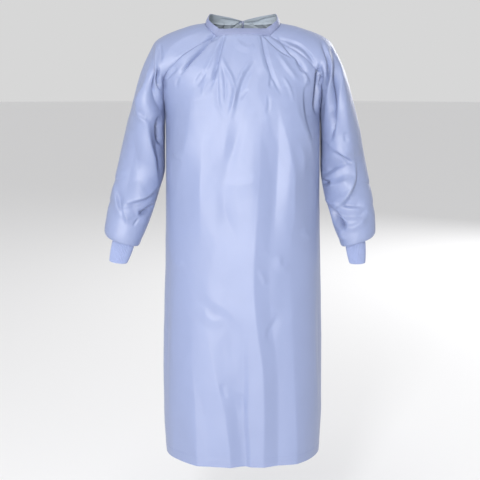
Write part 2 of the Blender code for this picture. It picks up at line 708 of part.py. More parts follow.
def knot_line(surfaces, knot):
    """The straight line of both ties through a knot: its y at the knot, and its slope against z."""
    across = (TIE_WIDTH + KNOT_WRAP) * np.linspace(-1, 1, 9)
    levels = knot[1] + KNOT_HEIGHT * np.linspace(-0.5, 0.5, 5)
    heights = [max(back_y(surfaces, knot[0] + x, z) for x in across) for z in levels]
    slope = (heights[-1] - heights[0]) / KNOT_HEIGHT
    above = max(y - heights[0] - slope * (z - levels[0]) for y, z in zip(heights, levels))
    middle = (heights[0] + heights[-1]) / 2 + above
    return middle + 2 * TIE_CLEARANCE + CLOTH / 2 + KNOT_WRAP, slope


def laid_on_back(route, surfaces, knot, line):
    """The centre points of a tie that lies on the back, and its two crosswise directions there."""
    directions = np.gradient(route, axis=0)
    directions /= np.linalg.norm(directions, axis=1)[:, None]
    sideways = np.stack([-directions[:, 1], np.zeros(len(route)), directions[:, 0]], axis=1)
    highest = []
    for (x, z), side, direction in zip(route, sideways, directions):
        under = []
        for along in TIE_STEP * np.linspace(-1, 1, 9):
            for across in TIE_WIDTH * np.linspace(-0.5, 0.5, 5):
                under_x = x + along * direction[0] + across * side[0]
                under_z = z + along * direction[1] + across * side[2]
                under.append(back_y(surfaces, under_x, under_z))
        highest.append(max(under))
    highest = np.array(highest)
    beside = np.abs(route[:, 0] - knot[0]) - TIE_WIDTH
    beyond = np.abs(route[:, 1] - knot[1]) - KNOT_HEIGHT / 2
    in_knot = eased(2 - np.maximum(beside, beyond) / TIE_STEP)
    lying = highest + TIE_CLEARANCE + CLOTH / 2
    y = lying + in_knot * (line[0] + line[1] * (route[:, 1] - knot[1]) - lying)
    centres = np.stack([route[:, 0], y, route[:, 1]], axis=1)
    along = np.gradient(centres, axis=0)
    outwards = np.cross(sideways, along)
    outwards /= np.linalg.norm(outwards, axis=1)[:, None]
    outwards *= np.sign(outwards[:, 1])[:, None]
    return centres, sideways, outwards


def strip_mesh(name, centres, sideways, outwards):
    """A closed flat strip along its centre points."""
    corners = []
    for centre, side, out in zip(centres, sideways, outwards):
        half_side = side * TIE_WIDTH / 2
        half_out = out * CLOTH / 2
        corners += [
            centre - half_side - half_out,
            centre + half_side - half_out,
            centre + half_side + half_out,
            centre - half_side + half_out,
        ]
    return closed_loft(name, corners, 4)


def closed_loft(name, corners, around):
    """A closed solid through rings of the same number of corners, capped at both ends."""
    rings = len(corners) // around
    faces = [tuple(range(around))]
    for ring in range(rings - 1):
        for corner in range(around):
            a = ring * around + corner
            b = ring * around + (corner + 1) % around
            faces.append((a, a + around, b + around, b))
    faces.append(tuple(reversed(range(len(corners) - around, len(corners)))))
    mesh = bpy.data.meshes.new(name)
    mesh.from_pydata([tuple(corner) for corner in corners], [], faces)
    return facing_out(mesh)


def facing_out(mesh):
    """The mesh with its faces turned outwards."""
    edited = bmesh.new()
    edited.from_mesh(mesh)
    bmesh.ops.recalc_face_normals(edited, faces=edited.faces)
    edited.to_mesh(mesh)
    edited.free()
    return mesh


def knot_mesh(name, centre, down):
    """A knot as a wrap of cloth round both ties, which run down through it side by side."""
    across = np.array([1.0, 0.0, 0.0])
    out = np.cross(across, down)
    out *= np.sign(out[1]) / np.linalg.norm(out)
    inner_width = TIE_WIDTH + TIE_SIDE_GAP / 2 + TIE_CLEARANCE
    inner_depth = CLOTH / 2 + TIE_CLEARANCE
    outer = []
    inner = []
    for share, swell in KNOT_SHAPE:
        middle = centre + down * KNOT_HEIGHT * (share - 0.5)
        for place in range(KNOT_SIDES):
            angle = 2 * math.pi * place / KNOT_SIDES
            u, v = math.cos(angle), math.sin(angle)
            square = max(abs(u), abs(v))
            inner.append(middle + across * inner_width * u / square + out * inner_depth * v / square)
            wide = (inner_width + KNOT_WRAP * swell) * abs(u) ** KNOT_SQUARENESS * np.sign(u)
            deep = (inner_depth + KNOT_WRAP * swell) * abs(v) ** KNOT_SQUARENESS * np.sign(v)
            outer.append(middle + across * wide + out * deep)
    faces = []
    count = len(outer)
    for ring in range(len(KNOT_SHAPE) - 1):
        for place in range(KNOT_SIDES):
            a = ring * KNOT_SIDES + place
            b = ring * KNOT_SIDES + (place + 1) % KNOT_SIDES
            faces.append((a, b, b + KNOT_SIDES, a + KNOT_SIDES))
            faces.append((count + b, count + a, count + a + KNOT_SIDES, count + b + KNOT_SIDES))
    for ring in (0, len(KNOT_SHAPE) - 1):
        for place in range(KNOT_SIDES):
            a = ring * KNOT_SIDES + place
            b = ring * KNOT_SIDES + (place + 1) % KNOT_SIDES
            rim = (a, a + count, b + count, b)
            faces.append(rim if ring == 0 else rim[::-1])
    mesh = bpy.data.meshes.new(name)
    mesh.from_pydata([tuple(corner) for corner in outer + inner], [], faces)
    return facing_out(mesh)


def neck_routes():
    """The neck ties, side by side through their knot and apart below it."""
    half = (TIE_WIDTH + TIE_SIDE_GAP) / 2
    first_bend, second_bend = NECK_TIE_BENDS
    routes = {}
    for name, side in (("neck_tie_left", 1), ("neck_tie_right", -1)):
        routes[name] = [
            (side * half, NECK_TIE_TOP),
            (side * half, first_bend),
            (side * (half + NECK_TIE_SPREAD), second_bend),
            (side * half + NECK_TIE_SPREAD, NECK_TIE_END),
        ]
    return (0.0, NECK_KNOT_Z), routes


def waist_routes():
    """The waist ties, each from where it is sewn on to the knot, then down."""
    half = (TIE_WIDTH + TIE_SIDE_GAP) / 2
    bend_z = WAIST_Z - WAIST_BEND
    knot = (WAIST_KNOT_X, bend_z - KNOT_HEIGHT / 2)
    routes = {}
    for name, side, start in (
        ("waist_tie_left", 1, WAIST_TIE_LEFT_START),
        ("waist_tie_right", -1, WAIST_TIE_RIGHT_START),
    ):
        straight_x = WAIST_KNOT_X + side * half
        bend = []
        for angle in np.radians(np.linspace(0, 90, WAIST_BEND_STEPS + 1)):
            x = straight_x + side * WAIST_BEND * (1 - math.sin(angle))
            bend.append((x, bend_z + WAIST_BEND * math.cos(angle)))
        tail = [
            (straight_x, bend_z - 2 * KNOT_HEIGHT),
            (straight_x + side * WAIST_TIE_SPREAD, bend_z - WAIST_TIE_SPREAD_DROP),
            (straight_x + side * WAIST_TIE_SPREAD, WAIST_Z - WAIST_TIE_DROP),
        ]
        routes[name] = [(start, WAIST_Z)] + bend + tail
    return knot, routes


def make_ties(collection, surfaces):
    for knot_name, (knot, routes) in (("neck_knot", neck_routes()), ("waist_knot", waist_routes())):
        line = knot_line(surfaces, knot)
        for name, corners in routes.items():
            centres, sideways, outwards = laid_on_back(stepped(corners), surfaces, knot, line)
            mesh = strip_mesh(name, centres, sideways, outwards)
            add_object(name, mesh, make_material(name + "_cloth", TIE_BLUE, 0.6), collection)
        down = np.array([0.0, -line[1], -1.0])
        centre = np.array([knot[0], line[0], knot[1]])
        mesh = knot_mesh(knot_name, centre, down / np.linalg.norm(down))
        add_object(knot_name, mesh, make_material(knot_name + "_cloth", TIE_BLUE, 0.6), collection)


def main():
    clear_scene()
    collection = bpy.data.collections.new("surgical_gown")
    bpy.context.scene.collection.children.link(collection)
    surfaces = make_shell(collection)
    make_ties(collection, surfaces)


main()
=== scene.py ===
"""The looks of the surgical gown: its cloth with all its folds, stitching, materials, floor and lights.

The gown's cloth repeats the sections of the CAD model on a finer grid, with finer folds on it. Lengths
are in metres. +Z is up, the front faces -Y and the wearer's left is +X.
"""

import math
from collections import namedtuple

import bmesh
import bpy
import numpy as np
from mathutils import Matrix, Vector, noise
from mathutils.bvhtree import BVHTree
from mathutils.kdtree import KDTree


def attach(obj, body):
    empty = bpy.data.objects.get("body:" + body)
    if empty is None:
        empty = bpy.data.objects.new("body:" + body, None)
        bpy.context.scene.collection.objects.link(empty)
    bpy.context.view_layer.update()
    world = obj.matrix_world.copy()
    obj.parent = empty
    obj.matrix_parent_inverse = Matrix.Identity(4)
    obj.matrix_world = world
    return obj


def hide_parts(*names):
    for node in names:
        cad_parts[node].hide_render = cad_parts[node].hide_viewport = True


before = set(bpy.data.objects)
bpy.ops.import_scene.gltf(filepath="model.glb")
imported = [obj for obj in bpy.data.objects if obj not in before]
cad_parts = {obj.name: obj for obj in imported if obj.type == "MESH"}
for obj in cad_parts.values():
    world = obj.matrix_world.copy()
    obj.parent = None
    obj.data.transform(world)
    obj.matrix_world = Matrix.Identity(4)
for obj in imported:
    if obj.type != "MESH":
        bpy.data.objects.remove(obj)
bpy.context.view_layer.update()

# Camera
CAMERA_PLACE = (-0.0079, -3.0, -0.12)
CAMERA_PITCH = math.radians(9.65)
CAMERA_LENS_MM = 77.3
CAMERA_SENSOR_MM = 36.0
CAMERA_REACH = 100.0

# Studio
WORLD_STRENGTH = 0.68
KEY_PLACE = (-0.80, -3.60, 0.00)
KEY_SIZE = (0.55, 3.0)
KEY_POWER = 119.0
TOP_PLACE = (-0.50, -1.20, 2.60)
TOP_SIZE = (1.2, 1.0)
TOP_POWER = 17.0
BACK_PLACE = (3.20, 5.00, 1.50)
BACK_SIZE = (1.6, 3.0)
BACK_POWER = 130.0
LIGHTS_AIM = (0.0, 0.0, -0.55)
WHITE = (1.0, 1.0, 1.0, 1.0)
FLOOR_SIDES = 96
FLOOR_RADIUS = 40.0
FLOOR_Z = -1.60

# Cloth
SHELL = 0.0007
BAND_SHELL = 0.0014
CUFF_SHELL = 0.0016
SEAM_GAP = 0.00012
MOST_THICKENING = 1.5
SHARP_ANGLE = math.radians(60)
EDGE_TOLERANCE = 0.00001
WELDS_PER_METRE = 1000000

# Fineness of the grids
YOKE_ROWS = 88
BODY_ROWS = 190
ARM_ROWS = 124
GATHERED_ROWS = 18
FRONT_COLUMNS = 148
BACK_COLUMNS = 72
SLEEVE_COLUMNS = 136
BAND_ROWS = 10
CUFF_ROWS = 44
CUFF_COLUMNS = 276
FINE_STEPS = 400

# Lap of the back panels, as in the CAD model
NECK_SLIT = 0.003
LAP = 0.030
LAP_BEGINS = 0.12
LAP_FULL = 0.35
LIFT = 0.006
LIFT_BEGINS = 0.05
LIFT_FULL = 0.16
LIFT_FULL_X = 0.045
LIFT_NONE_X = 0.105

# Sections of the CAD model. "at" is 0 at the neck seam, 1 at the underarm and 2 at the hem or the cuff.
Place = namedtuple("Place", "at x y z")
Raglan = namedtuple("Raglan", "at x z depth opening")
Middle = namedtuple("Middle", "at y z wrap exponent")
Arm = namedtuple("Arm", "at outer_x outer_z inner_x inner_z middle_y front_depth back_depth")
CuffEnd = namedtuple("CuffEnd", "outer_x outer_z inner_x inner_z middle_y depth")
Band = namedtuple("Band", "angle rise lean")

RIDGE = (
    Place(0.000, 0.1045, 0.000, 0.0000),
    Place(0.163, 0.1600, 0.002, -0.0135),
    Place(0.335, 0.2165, 0.004, -0.0340),
    Place(0.447, 0.2490, 0.005, -0.0535),
    Place(0.550, 0.2680, 0.006, -0.0850),
    Place(0.722, 0.2930, 0.008, -0.1400),
    Place(1.000, 0.3200, 0.010, -0.2330),
)
FRONT_RAGLAN = (
    Raglan(0.000, 0.0740, -0.0370, 0.0684, 115),
    Raglan(0.436, 0.1900, -0.1150, 0.0880, 90),
    Raglan(0.637, 0.2235, -0.1660, 0.0920, 50),
    Raglan(0.820, 0.2250, -0.2130, 0.0930, 30),
    Raglan(1.000, 0.2235, -0.2600, 0.0918, 0),
)
BACK_RAGLAN = (
    Raglan(0.000, 0.0620, -0.0040, 0.0640, 115),
    Raglan(0.436, 0.1800, -0.0850, 0.0830, 90),
    Raglan(0.637, 0.2180, -0.1430, 0.0860, 55),
    Raglan(0.820, 0.2245, -0.2010, 0.0860, 32),
    Raglan(1.000, 0.2235, -0.2600, 0.0850, 0),
)
CHEST = (
    Middle(0.000, -0.0750, -0.0360, 35, 2.2),
    Middle(0.250, -0.0930, -0.0760, 42, 2.2),
    Middle(0.436, -0.1060, -0.1150, 50, 2.3),
    Middle(0.637, -0.1190, -0.1660, 62, 2.35),
    Middle(0.820, -0.1290, -0.2130, 74, 2.4),
    Middle(1.000, -0.1365, -0.2600, 90, 2.4),
    Middle(1.060, -0.1408, -0.3205, 90, 2.4),
    Middle(1.120, -0.1430, -0.3810, 90, 2.4),
    Middle(1.238, -0.1455, -0.5000, 90, 2.4),
    Middle(1.535, -0.1510, -0.8000, 90, 2.45),
    Middle(2.000, -0.1630, -1.2700, 90, 2.5),
)
SPINE = (
    Middle(0.000, 0.0700, -0.0050, 35, 2.2),
    Middle(0.250, 0.0870, -0.0450, 42, 2.2),
    Middle(0.436, 0.1010, -0.0880, 50, 2.3),
    Middle(0.637, 0.1130, -0.1480, 62, 2.35),
    Middle(0.820, 0.1200, -0.2030, 74, 2.4),
    Middle(1.000, 0.1240, -0.2600, 90, 2.4),
    Middle(1.238, 0.1220, -0.5000, 90, 2.4),
    Middle(1.535, 0.1340, -0.8000, 90, 2.45),
    Middle(2.000, 0.1600, -1.2700, 90, 2.5),
)
SIDE_SEAM = (
    Place(1.000, 0.2235, 0.010, -0.2600),
    Place(1.249, 0.2250, 0.008, -0.5110),
    Place(1.366, 0.2275, 0.006, -0.6300),
    Place(1.545, 0.2325, 0.003, -0.8100),
    Place(1.699, 0.2365, 0.000, -0.9655),
    Place(1.854, 0.2380, 0.000, -1.1220),
    Place(1.948, 0.2352, 0.000, -1.2160),
    Place(2.000, 0.2315, 0.000, -1.2660),
)
RIGHT_ARM = (
    Arm(1.000, 0.3200, -0.2330, 0.2235, -0.2600, 0.010, 0.0918, 0.085),
    Arm(1.100, 0.3310, -0.2690, 0.2262, -0.2970, 0.016, 0.0905, 0.080),
    Arm(1.200, 0.3415, -0.3050, 0.2268, -0.3340, 0.020, 0.085, 0.074),
    Arm(1.400, 0.3590, -0.3780, 0.2275, -0.4120, 0.020, 0.068, 0.064),
    Arm(1.600, 0.3755, -0.4520, 0.2460, -0.4870, 0.005, 0.056, 0.055),
    Arm(1.750, 0.3885, -0.5080, 0.2645, -0.5460, -0.008, 0.051, 0.050),
    Arm(1.870, 0.3990, -0.5620, 0.2805, -0.5900, -0.018, 0.048, 0.047),
    Arm(1.940, 0.4035, -0.5960, 0.2945, -0.6200, -0.024, 0.044, 0.043),
    Arm(1.985, 0.3950, -0.6155, 0.3075, -0.6425, -0.026, 0.038, 0.037),
    Arm(2.000, 0.3786, -0.6190, 0.3165, -0.6370, -0.027, 0.029, 0.029),
)
LEFT_ARM = RIGHT_ARM[:3] + (
    Arm(1.400, 0.3560, -0.3780, 0.2275, -0.4120, 0.020, 0.068, 0.064),
    Arm(1.600, 0.3718, -0.4520, 0.2375, -0.4870, 0.005, 0.056, 0.055),
    Arm(1.750, 0.3815, -0.5080, 0.2560, -0.5460, -0.008, 0.051, 0.050),
    Arm(1.870, 0.3875, -0.5600, 0.2690, -0.5900, -0.018, 0.048, 0.047),
    Arm(1.940, 0.3890, -0.5975, 0.2815, -0.6200, -0.024, 0.044, 0.043),
    Arm(1.985, 0.3810, -0.6155, 0.2920, -0.6425, -0.026, 0.038, 0.037),
    Arm(2.000, 0.3575, -0.6200, 0.3010, -0.6370, -0.027, 0.029, 0.029),
)
CUFF_ENDS = {
    "right": CuffEnd(0.3905, -0.6860, 0.3395, -0.6935, -0.030, 0.026),
    "left": CuffEnd(0.3590, -0.6915, 0.3135, -0.6935, -0.030, 0.025),
}
NECK_BAND = (
    Band(0, 0.0165, 0.0150),
    Band(40, 0.0165, 0.0140),
    Band(50, 0.0185, 0.0120),
    Band(60, 0.0165, 0.0090),
    Band(72, 0.0160, 0.0070),
    Band(85, 0.0200, 0.0090),
    Band(95, 0.0240, 0.0120),
    Band(130, 0.0225, 0.0100),
    Band(165, 0.0150, 0.0060),
    Band(180, 0.0100, 0.0030),
)
BAND_BULGE = 0.0012

# Folds, in millimetres, in groups that lie on the same pieces of cloth and the same face of the gown.
# Each row is a Fold: its start, depth, left, right and points. It runs along its points, which are x and
# z on the front or the back, and y and z on the left or the right. A depth below zero is a trough, and
# "start" is the share of it at the first point. "left" and "right" are its widths on those sides of its
# line, as seen from outside with the line running down.
Group = namedtuple("Group", "cloth face rows")
Fold = namedtuple("Fold", "start depth left right points")
YOKE = ("front_panel", "sleeve_left", "sleeve_right")
BACK_YOKE = ("back_panel_left", "back_panel_right", "sleeve_left", "sleeve_right")
FRONT = ("front_panel",)
BACK = ("back_panel_left", "back_panel_right")
NECK_BACK = ("neck_band", "back_panel_left", "back_panel_right")
RIGHT = ("sleeve_right",)
LEFT = ("sleeve_left",)
FOLDS = (
    # Pleats from the neck seam on the wearer's right
    Group(YOKE, "front", (
        (0.9, -6, 6, 3, (-82, -40), (-110, -75), (-150, -115), (-178, -152)),
        (0.3, -5, 3, 3, (-100, -64), (-135, -98), (-172, -145)),
        (0.8, -3, 6, 3, (-70, -44), (-92, -56), (-112, -70)),
        (0.5, 5, 16, 8, (-94, -48), (-150, -88), (-195, -118)),
        (0.0, -4, 8, 3, (-180, -128), (-200, -146), (-217, -166)),
    )),
    Group(FRONT, "front", (
        (0.9, -4.6, 6, 2.4, (-52, -45), (-63, -90), (-77, -145), (-93, -193)),
        (0.4, 3, 4, 16, (-50, -58), (-58, -92), (-70, -145), (-82, -190)),
        (0.1, -3.4, 7, 3, (-99, -132), (-115, -160), (-129, -183)),
        (0.4, 2.6, 6, 5, (-68, -60), (-96, -120), (-118, -160)),
    )),
    Group(RIGHT, "front", (
        (0.3, 3, 12, 16, (-112, -26), (-190, -62), (-226, -110)),
    )),
    # Pleats from the neck seam on the wearer's left
    Group(FRONT, "front", (
        (0.9, -4.4, 2.4, 6, (52, -43), (62, -95), (80, -150), (107, -204)),
        (0.1, -3.6, 3, 5, (77, -142), (77, -160), (75, -184)),
        (0.3, 2.6, 14, 4, (44, -60), (54, -110), (70, -150)),
    )),
    Group(YOKE, "front", (
        (0.8, -4.4, 2.6, 6, (60, -41), (100, -78), (140, -101)),
        (0.3, -5.2, 2.6, 6, (101, -49), (125, -80), (152, -107), (192, -168)),
        (0.3, -5.5, 7, 4, (104, -49), (155, -64), (182, -88), (207, -130)),
        (0.2, 3.4, 10, 4, (120, -62), (165, -84), (196, -122)),
    )),
    Group(FRONT, "front", (
        (0.1, -5, 3, 6, (149, -104), (160, -128), (172, -146)),
        (0.0, 4, 4, 6, (166, -136), (178, -160), (172, -180)),
        (0.3, 2.8, 6, 6, (96, -86), (128, -130), (160, -170)),
    )),
    # Chest creases that run together in a funnel
    Group(FRONT, "front", (
        (0.0, 4, 6, 4, (-64, -88), (-47, -124), (-30, -157), (-22, -190), (-29, -229), (-43, -272)),
        (0.0, -3, 9, 3, (-66, -112), (-70, -160), (-67, -220), (-48, -270)),
        (0.0, -2.6, 3, 4, (-58, -120), (-50, -160), (-48, -200), (-50, -236)),
        (0.0, 3.6, 6, 5, (28, -100), (8, -128), (-8, -160), (-18, -192), (-26, -236), (-38, -282)),
        (0.0, -3.4, 3, 9, (36, -108), (18, -132), (2, -162), (-10, -196), (-20, -240)),
        (0.0, -2, 3, 4, (14, -128), (0, -150), (-12, -180)),
        (0.0, 2.2, 10, 6, (-20, -50), (-4, -66), (12, -72), (30, -62)),
    )),
    # Short fine creases that end the pleats
    Group(FRONT, "front", (
        (0.0, -2.2, 2, 4, (-134, -176), (-120, -152), (-104, -132)),
        (0.0, 2.4, 3, 6, (-112, -206), (-106, -180), (-96, -156)),
        (0.0, -2.6, 4, 2.4, (-176, -150), (-182, -166), (-186, -186)),
        (0.0, -2.2, 2.4, 4, (70, -200), (71, -226), (66, -258)),
        (0.0, 2.4, 5, 2.4, (112, -150), (132, -186), (140, -222)),
        (0.0, -2.2, 4, 2, (16, -186), (4, -200), (-6, -216)),
    )),
    # Armhole of the wearer's right sleeve
    Group(RIGHT, "front", (
        (0.2, -24, 30, 6, (-256, -75), (-256, -118), (-252, -155), (-244, -205), (-232, -255)),
    )),
    Group(YOKE, "front", (
        (0.0, -16, 4, 4, (-236, -125), (-238, -155), (-232, -192)),
        (0.1, -5, 5, 3.6, (-232, -60), (-229, -86), (-228, -112)),
        (0.0, -4, 3, 5, (-222, -150), (-222, -172), (-224, -190)),
    )),
    Group(RIGHT, "front", (
        (0.2, 5, 7, 5, (-243, -62), (-244, -110), (-240, -150)),
        (0.2, 11, 7, 26, (-272, -120), (-282, -180), (-300, -238), (-288, -266), (-268, -290)),
        (0.3, 14, 26, 7, (-270, -280), (-264, -345), (-254, -396), (-250, -469)),
        (0.2, -9, 5, 18, (-304, -238), (-286, -260), (-260, -276)),
        (0.0, -7, 10, 12, (-244, -270), (-244, -340), (-242, -431)),
    )),
    # Armhole of the wearer's left sleeve
    Group(YOKE, "front", (
        (0.1, -26, 4, 5, (216, -116), (210, -145), (208, -180), (207, -225), (214, -262)),
        (0.1, -9, 3.4, 4, (217, -122), (221, -155), (215, -195)),
    )),
    Group(LEFT, "front", (
        (0.2, -16, 4, 5, (222, -60), (240, -120), (238, -150), (229, -185), (225, -240), (224, -300)),
        (0.2, 5, 5, 5, (232, -64), (250, -120), (247, -160), (240, -210), (238, -280)),
        (0.2, -27, 14, 5, (258, -90), (268, -130), (267, -165), (260, -210), (256, -270), (252, -340)),
        (0.1, 11, 12, 36, (270, -110), (280, -160), (283, -220), (290, -280), (306, -340), (322, -385)),
    )),
    # Edges of the shaded strips of the body beside the arms
    Group(FRONT, "front", (
        (0.1, 16, 44, 32, (146, -180), (148, -235), (163, -290), (187, -350), (208, -420)),
        (0.0, -11, 4, 30, (180, -166), (173, -205), (177, -270), (194, -340)),
        (0.0, 15.3, 36, 50, (-158, -196), (-146, -230), (-148, -300), (-166, -390), (-192, -500)),
        (0.0, 4.1, 8, 14, (-192, -360), (-178, -374), (-162, -372)),
    )),
    # Long folds of the front, each with one crisp edge
    Group(FRONT, "front", (
        (0.0, 9.3, 34, 38, (-104, -260), (-113, -400), (-118, -500), (-118, -640)),
        (0.0, -5, 34, 20, (-53, -410), (-56, -480), (-46, -540), (-24, -590), (-10, -650)),
        (0.0, 13, 44, 24, (54, -210), (50, -350), (45, -470), (36, -600), (30, -730), (40, -860),
         (58, -1000), (61, -1120), (60, -1255), (60, -1900)),
        (0.0, -8.5, 40, 18, (96, -215), (100, -320), (97, -450), (90, -560), (86, -640)),
        (0.0, 11, 34, 26, (96, -200), (104, -260), (128, -350), (143, -440), (143, -540), (126, -660)),
        (0.0, 5.1, 10, 18, (150, -330), (168, -380), (172, -440)),
        (0.0, 11, 30, 36, (128, -660), (138, -780), (143, -920), (149, -1060), (154, -1200),
         (158, -1800)),
        (0.0, 15, 36, 50, (-158, -820), (-147, -880), (-144, -970), (-136, -1090), (-128, -1255),
         (-120, -1800)),
        (0.0, 11, 34, 20, (-112, -820), (-92, -930), (-74, -1010), (-52, -1110), (-38, -1230),
         (-10, -1700)),
        (0.0, -7.6, 26, 8, (-4, -820), (4, -920), (4, -1020), (2, -1100), (9, -1240), (20, -1700)),
        (0.0, -4.4, 22, 12, (-4, -250), (-14, -300), (-26, -350), (-40, -400), (-50, -448)),
        (0.0, 3.4, 20, 16, (-40, -270), (-48, -330), (-56, -400)),
    )),
    # Creases across the front
    Group(FRONT, "front", (
        (0.0, 3.4, 16, 30, (-124, -748), (-90, -776), (-40, -812), (2, -868)),
        (0.0, 2.2, 16, 9, (-116, -800), (-98, -828), (-78, -838), (-52, -832)),
        (0.0, 3.2, 22, 12, (-56, -434), (-22, -450), (18, -448), (48, -430)),
        (0.0, -2.8, 5, 14, (104, -816), (90, -840), (72, -872), (70, -905)),
        (0.0, 2.6, 6, 10, (44, -690), (56, -712), (64, -738)),
        (0.0, 2.8, 12, 8, (110, -648), (104, -670), (116, -686), (130, -672)),
        (0.0, 2.2, 12, 6, (-200, -664), (-186, -684), (-166, -676)),
        (0.0, 2.6, 8, 12, (164, -586), (178, -594), (196, -612)),
        (0.0, -2.4, 4, 10, (-60, -1020), (-58, -1045), (-46, -1062)),
        (0.0, -2.6, 10, 5, (-14, -1045), (0, -1075), (4, -1110)),
    )),
    # Facets of the wearer's right sleeve
    Group(RIGHT, "front", (
        (0.0, -4, 16, 16, (-303, -308), (-320, -402), (-343, -506)),
        (0.2, 16, 30, 9, (-244, -464), (-275, -492), (-346, -514)),
        (0.3, -8, 3, 7, (-250, -477), (-280, -502), (-344, -522)),
        (0.2, 6, 10, 5, (-374, -466), (-362, -514), (-344, -560)),
        (0.3, -6, 5, 12, (-366, -480), (-352, -522), (-336, -566)),
        (0.4, 11, 6, 16, (-346, -514), (-343, -537), (-326, -573)),
        (0.4, -20, 6, 6, (-262, -528), (-283, -540), (-302, -544)),
        (0.0, -4, 3, 3, (-300, -556), (-308, -568), (-318, -580)),
        (0.1, -22, 5, 5, (-236, -268), (-240, -298), (-232, -350)),
    )),
    # Facets of the wearer's left sleeve
    Group(LEFT, "front", (
        (0.2, 13, 8, 30, (256, -352), (272, -362), (298, -380), (322, -397)),
        (0.2, -8, 6, 3, (262, -364), (298, -387), (320, -403)),
        (0.2, -7, 4, 4, (328, -400), (329, -436), (319, -476), (297, -514), (262, -540)),
        (0.3, -14, 20, 6, (300, -396), (262, -414), (219, -447)),
        (0.2, 10, 15, 10, (232, -462), (253, -464), (284, -454), (316, -440)),
        (0.6, -19, 6, 6, (216, -451), (230, -458), (256, -459)),
        (0.2, 19, 24, 9, (320, -394), (322, -434), (312, -472), (290, -509), (250, -538)),
        (0.2, 4.5, 8, 4, (236, -499), (257, -513), (278, -513)),
        (0.2, -8, 7, 14, (258, -541), (298, -552), (336, -549), (362, -525)),
        (0.1, 6, 10, 6, (284, -575), (312, -582), (341, -568), (362, -545)),
        (0.6, -30, 7, 10, (243, -535), (262, -556), (284, -577), (300, -583)),
        (0.1, -9, 5, 14, (272, -516), (312, -521), (352, -522)),
        (0.0, 4, 6, 5, (288, -592), (284, -611), (302, -618)),
        (0.0, -4, 3, 10, (288, -306), (290, -322), (292, -338)),
    )),
    # Back: creases that run to the knot at the neck
    Group(NECK_BACK, "back", (
        (0.3, 6, 1.6, 4, (-62, 12), (-36, 8), (-12, 4), (-3, 2)),
        (0.8, 7, 3, 1.8, (-4, 3), (-16, -4), (-34, -16)),
        (0.3, 6, 4, 1.6, (60, 10), (36, 3), (12, 1), (4, 1)),
        (0.5, 5, 2, 3, (22, -2), (36, -8), (48, -13)),
        (0.5, 5, 3, 2, (94, 16), (70, 12), (50, 8)),
    )),
    # Back: pleats from the neck seam
    Group(BACK_YOKE, "back", (
        (0.9, -6, 3, 11, (-60, -8), (-100, -60), (-150, -120)),
        (0.8, -5.5, 10, 3, (66, -10), (110, -70), (166, -126)),
    )),
    Group(BACK, "back", (
        (0.9, -5, 3, 10, (-36, -10), (-52, -80), (-74, -160)),
        (0.8, -5, 11, 3, (38, -10), (58, -70), (90, -160)),
        (0.7, 3, 5, 8, (12, -10), (18, -60), (34, -120)),
        (0.7, 3, 6, 6, (-14, -12), (-26, -70), (-30, -130)),
    )),
    # Back: armholes and hollows
    Group(RIGHT, "back", (
        (0.2, -10, 8, 8, (-258, -80), (-262, -140), (-250, -230)),
    )),
    Group(LEFT, "back", (
        (0.2, -11, 8, 9, (256, -75), (266, -150), (250, -240)),
    )),
    Group(BACK_YOKE, "back", (
        (0.1, -8, 6, 8, (-214, -130), (-212, -190), (-221, -255)),
        (0.1, -8, 8, 6, (216, -125), (214, -195), (222, -256)),
    )),
    Group(BACK, "back", (
        (0.0, -12, 12, 30, (152, -180), (170, -290), (200, -400)),
        (0.0, -11, 30, 10, (-150, -190), (-164, -280), (-196, -410)),
    )),
    # Back: long folds, and drags towards the waist ties
    Group(BACK, "back", (
        (0.0, 13, 26, 40, (104, -300), (110, -700), (122, -1220), (130, -1700)),
        (0.0, -9, 20, 30, (160, -460), (166, -800), (176, -1200), (182, -1600)),
        (0.0, 12, 38, 24, (-112, -440), (-124, -760), (-132, -1210), (-136, -1700)),
        (0.0, -9, 30, 16, (-164, -440), (-172, -800), (-180, -1190), (-186, -1600)),
        (0.0, 8, 30, 16, (52, -180), (60, -280), (56, -390)),
        (0.0, -7, 16, 28, (-76, -170), (-84, -280), (-72, -390)),
        (0.0, -6, 8, 16, (-214, -330), (-180, -396), (-150, -420)),
        (0.0, 5, 9, 11, (-206, -420), (-180, -428), (-152, -424)),
        (0.0, -6, 8, 14, (-200, -510), (-176, -460), (-148, -428)),
        (0.0, -6, 8, 15, (190, -340), (110, -400), (34, -420)),
        (0.0, 5, 12, 10, (200, -440), (120, -436), (40, -424)),
        (0.0, -8, 24, 14, (50, -560), (58, -800), (70, -1180), (74, -1600)),
        (0.0, 3.4, 14, 26, (-30, -760), (-80, -800), (-130, -850)),
        (0.0, -3.4, 6, 14, (150, -700), (120, -730), (82, -744)),
    )),
    # Back of the sleeves
    Group(RIGHT, "back", (
        (0.0, -7, 5, 12, (-350, -440), (-310, -470), (-262, -500)),
        (0.0, -6, 5, 11, (-386, -520), (-340, -545), (-296, -562)),
        (0.0, 5, 10, 12, (-330, -250), (-326, -350), (-336, -450)),
        (0.0, -5, 12, 6, (-262, -300), (-300, -340), (-330, -350)),
        (0.0, -5, 5, 10, (-368, -590), (-344, -600), (-316, -600)),
    )),
    Group(LEFT, "back", (
        (0.0, -7, 11, 5, (345, -440), (300, -476), (250, -500)),
        (0.0, -6, 10, 5, (374, -530), (330, -560), (288, -566)),
        (0.0, 5, 12, 10, (320, -240), (318, -340), (330, -430)),
        (0.0, -5.5, 6, 12, (256, -330), (290, -380), (330, -396)),
    )),
    # Outer sides of the sleeves
    Group(RIGHT, "right", (
        (0.0, -2.2, 6, 12, (-50, -420), (-10, -452), (30, -440)),
        (0.0, -2.2, 11, 6, (30, -540), (-10, -512), (-50, -522)),
        (0.0, 4, 10, 10, (34, -120), (40, -220), (30, -330)),
    )),
    Group(LEFT, "left", (
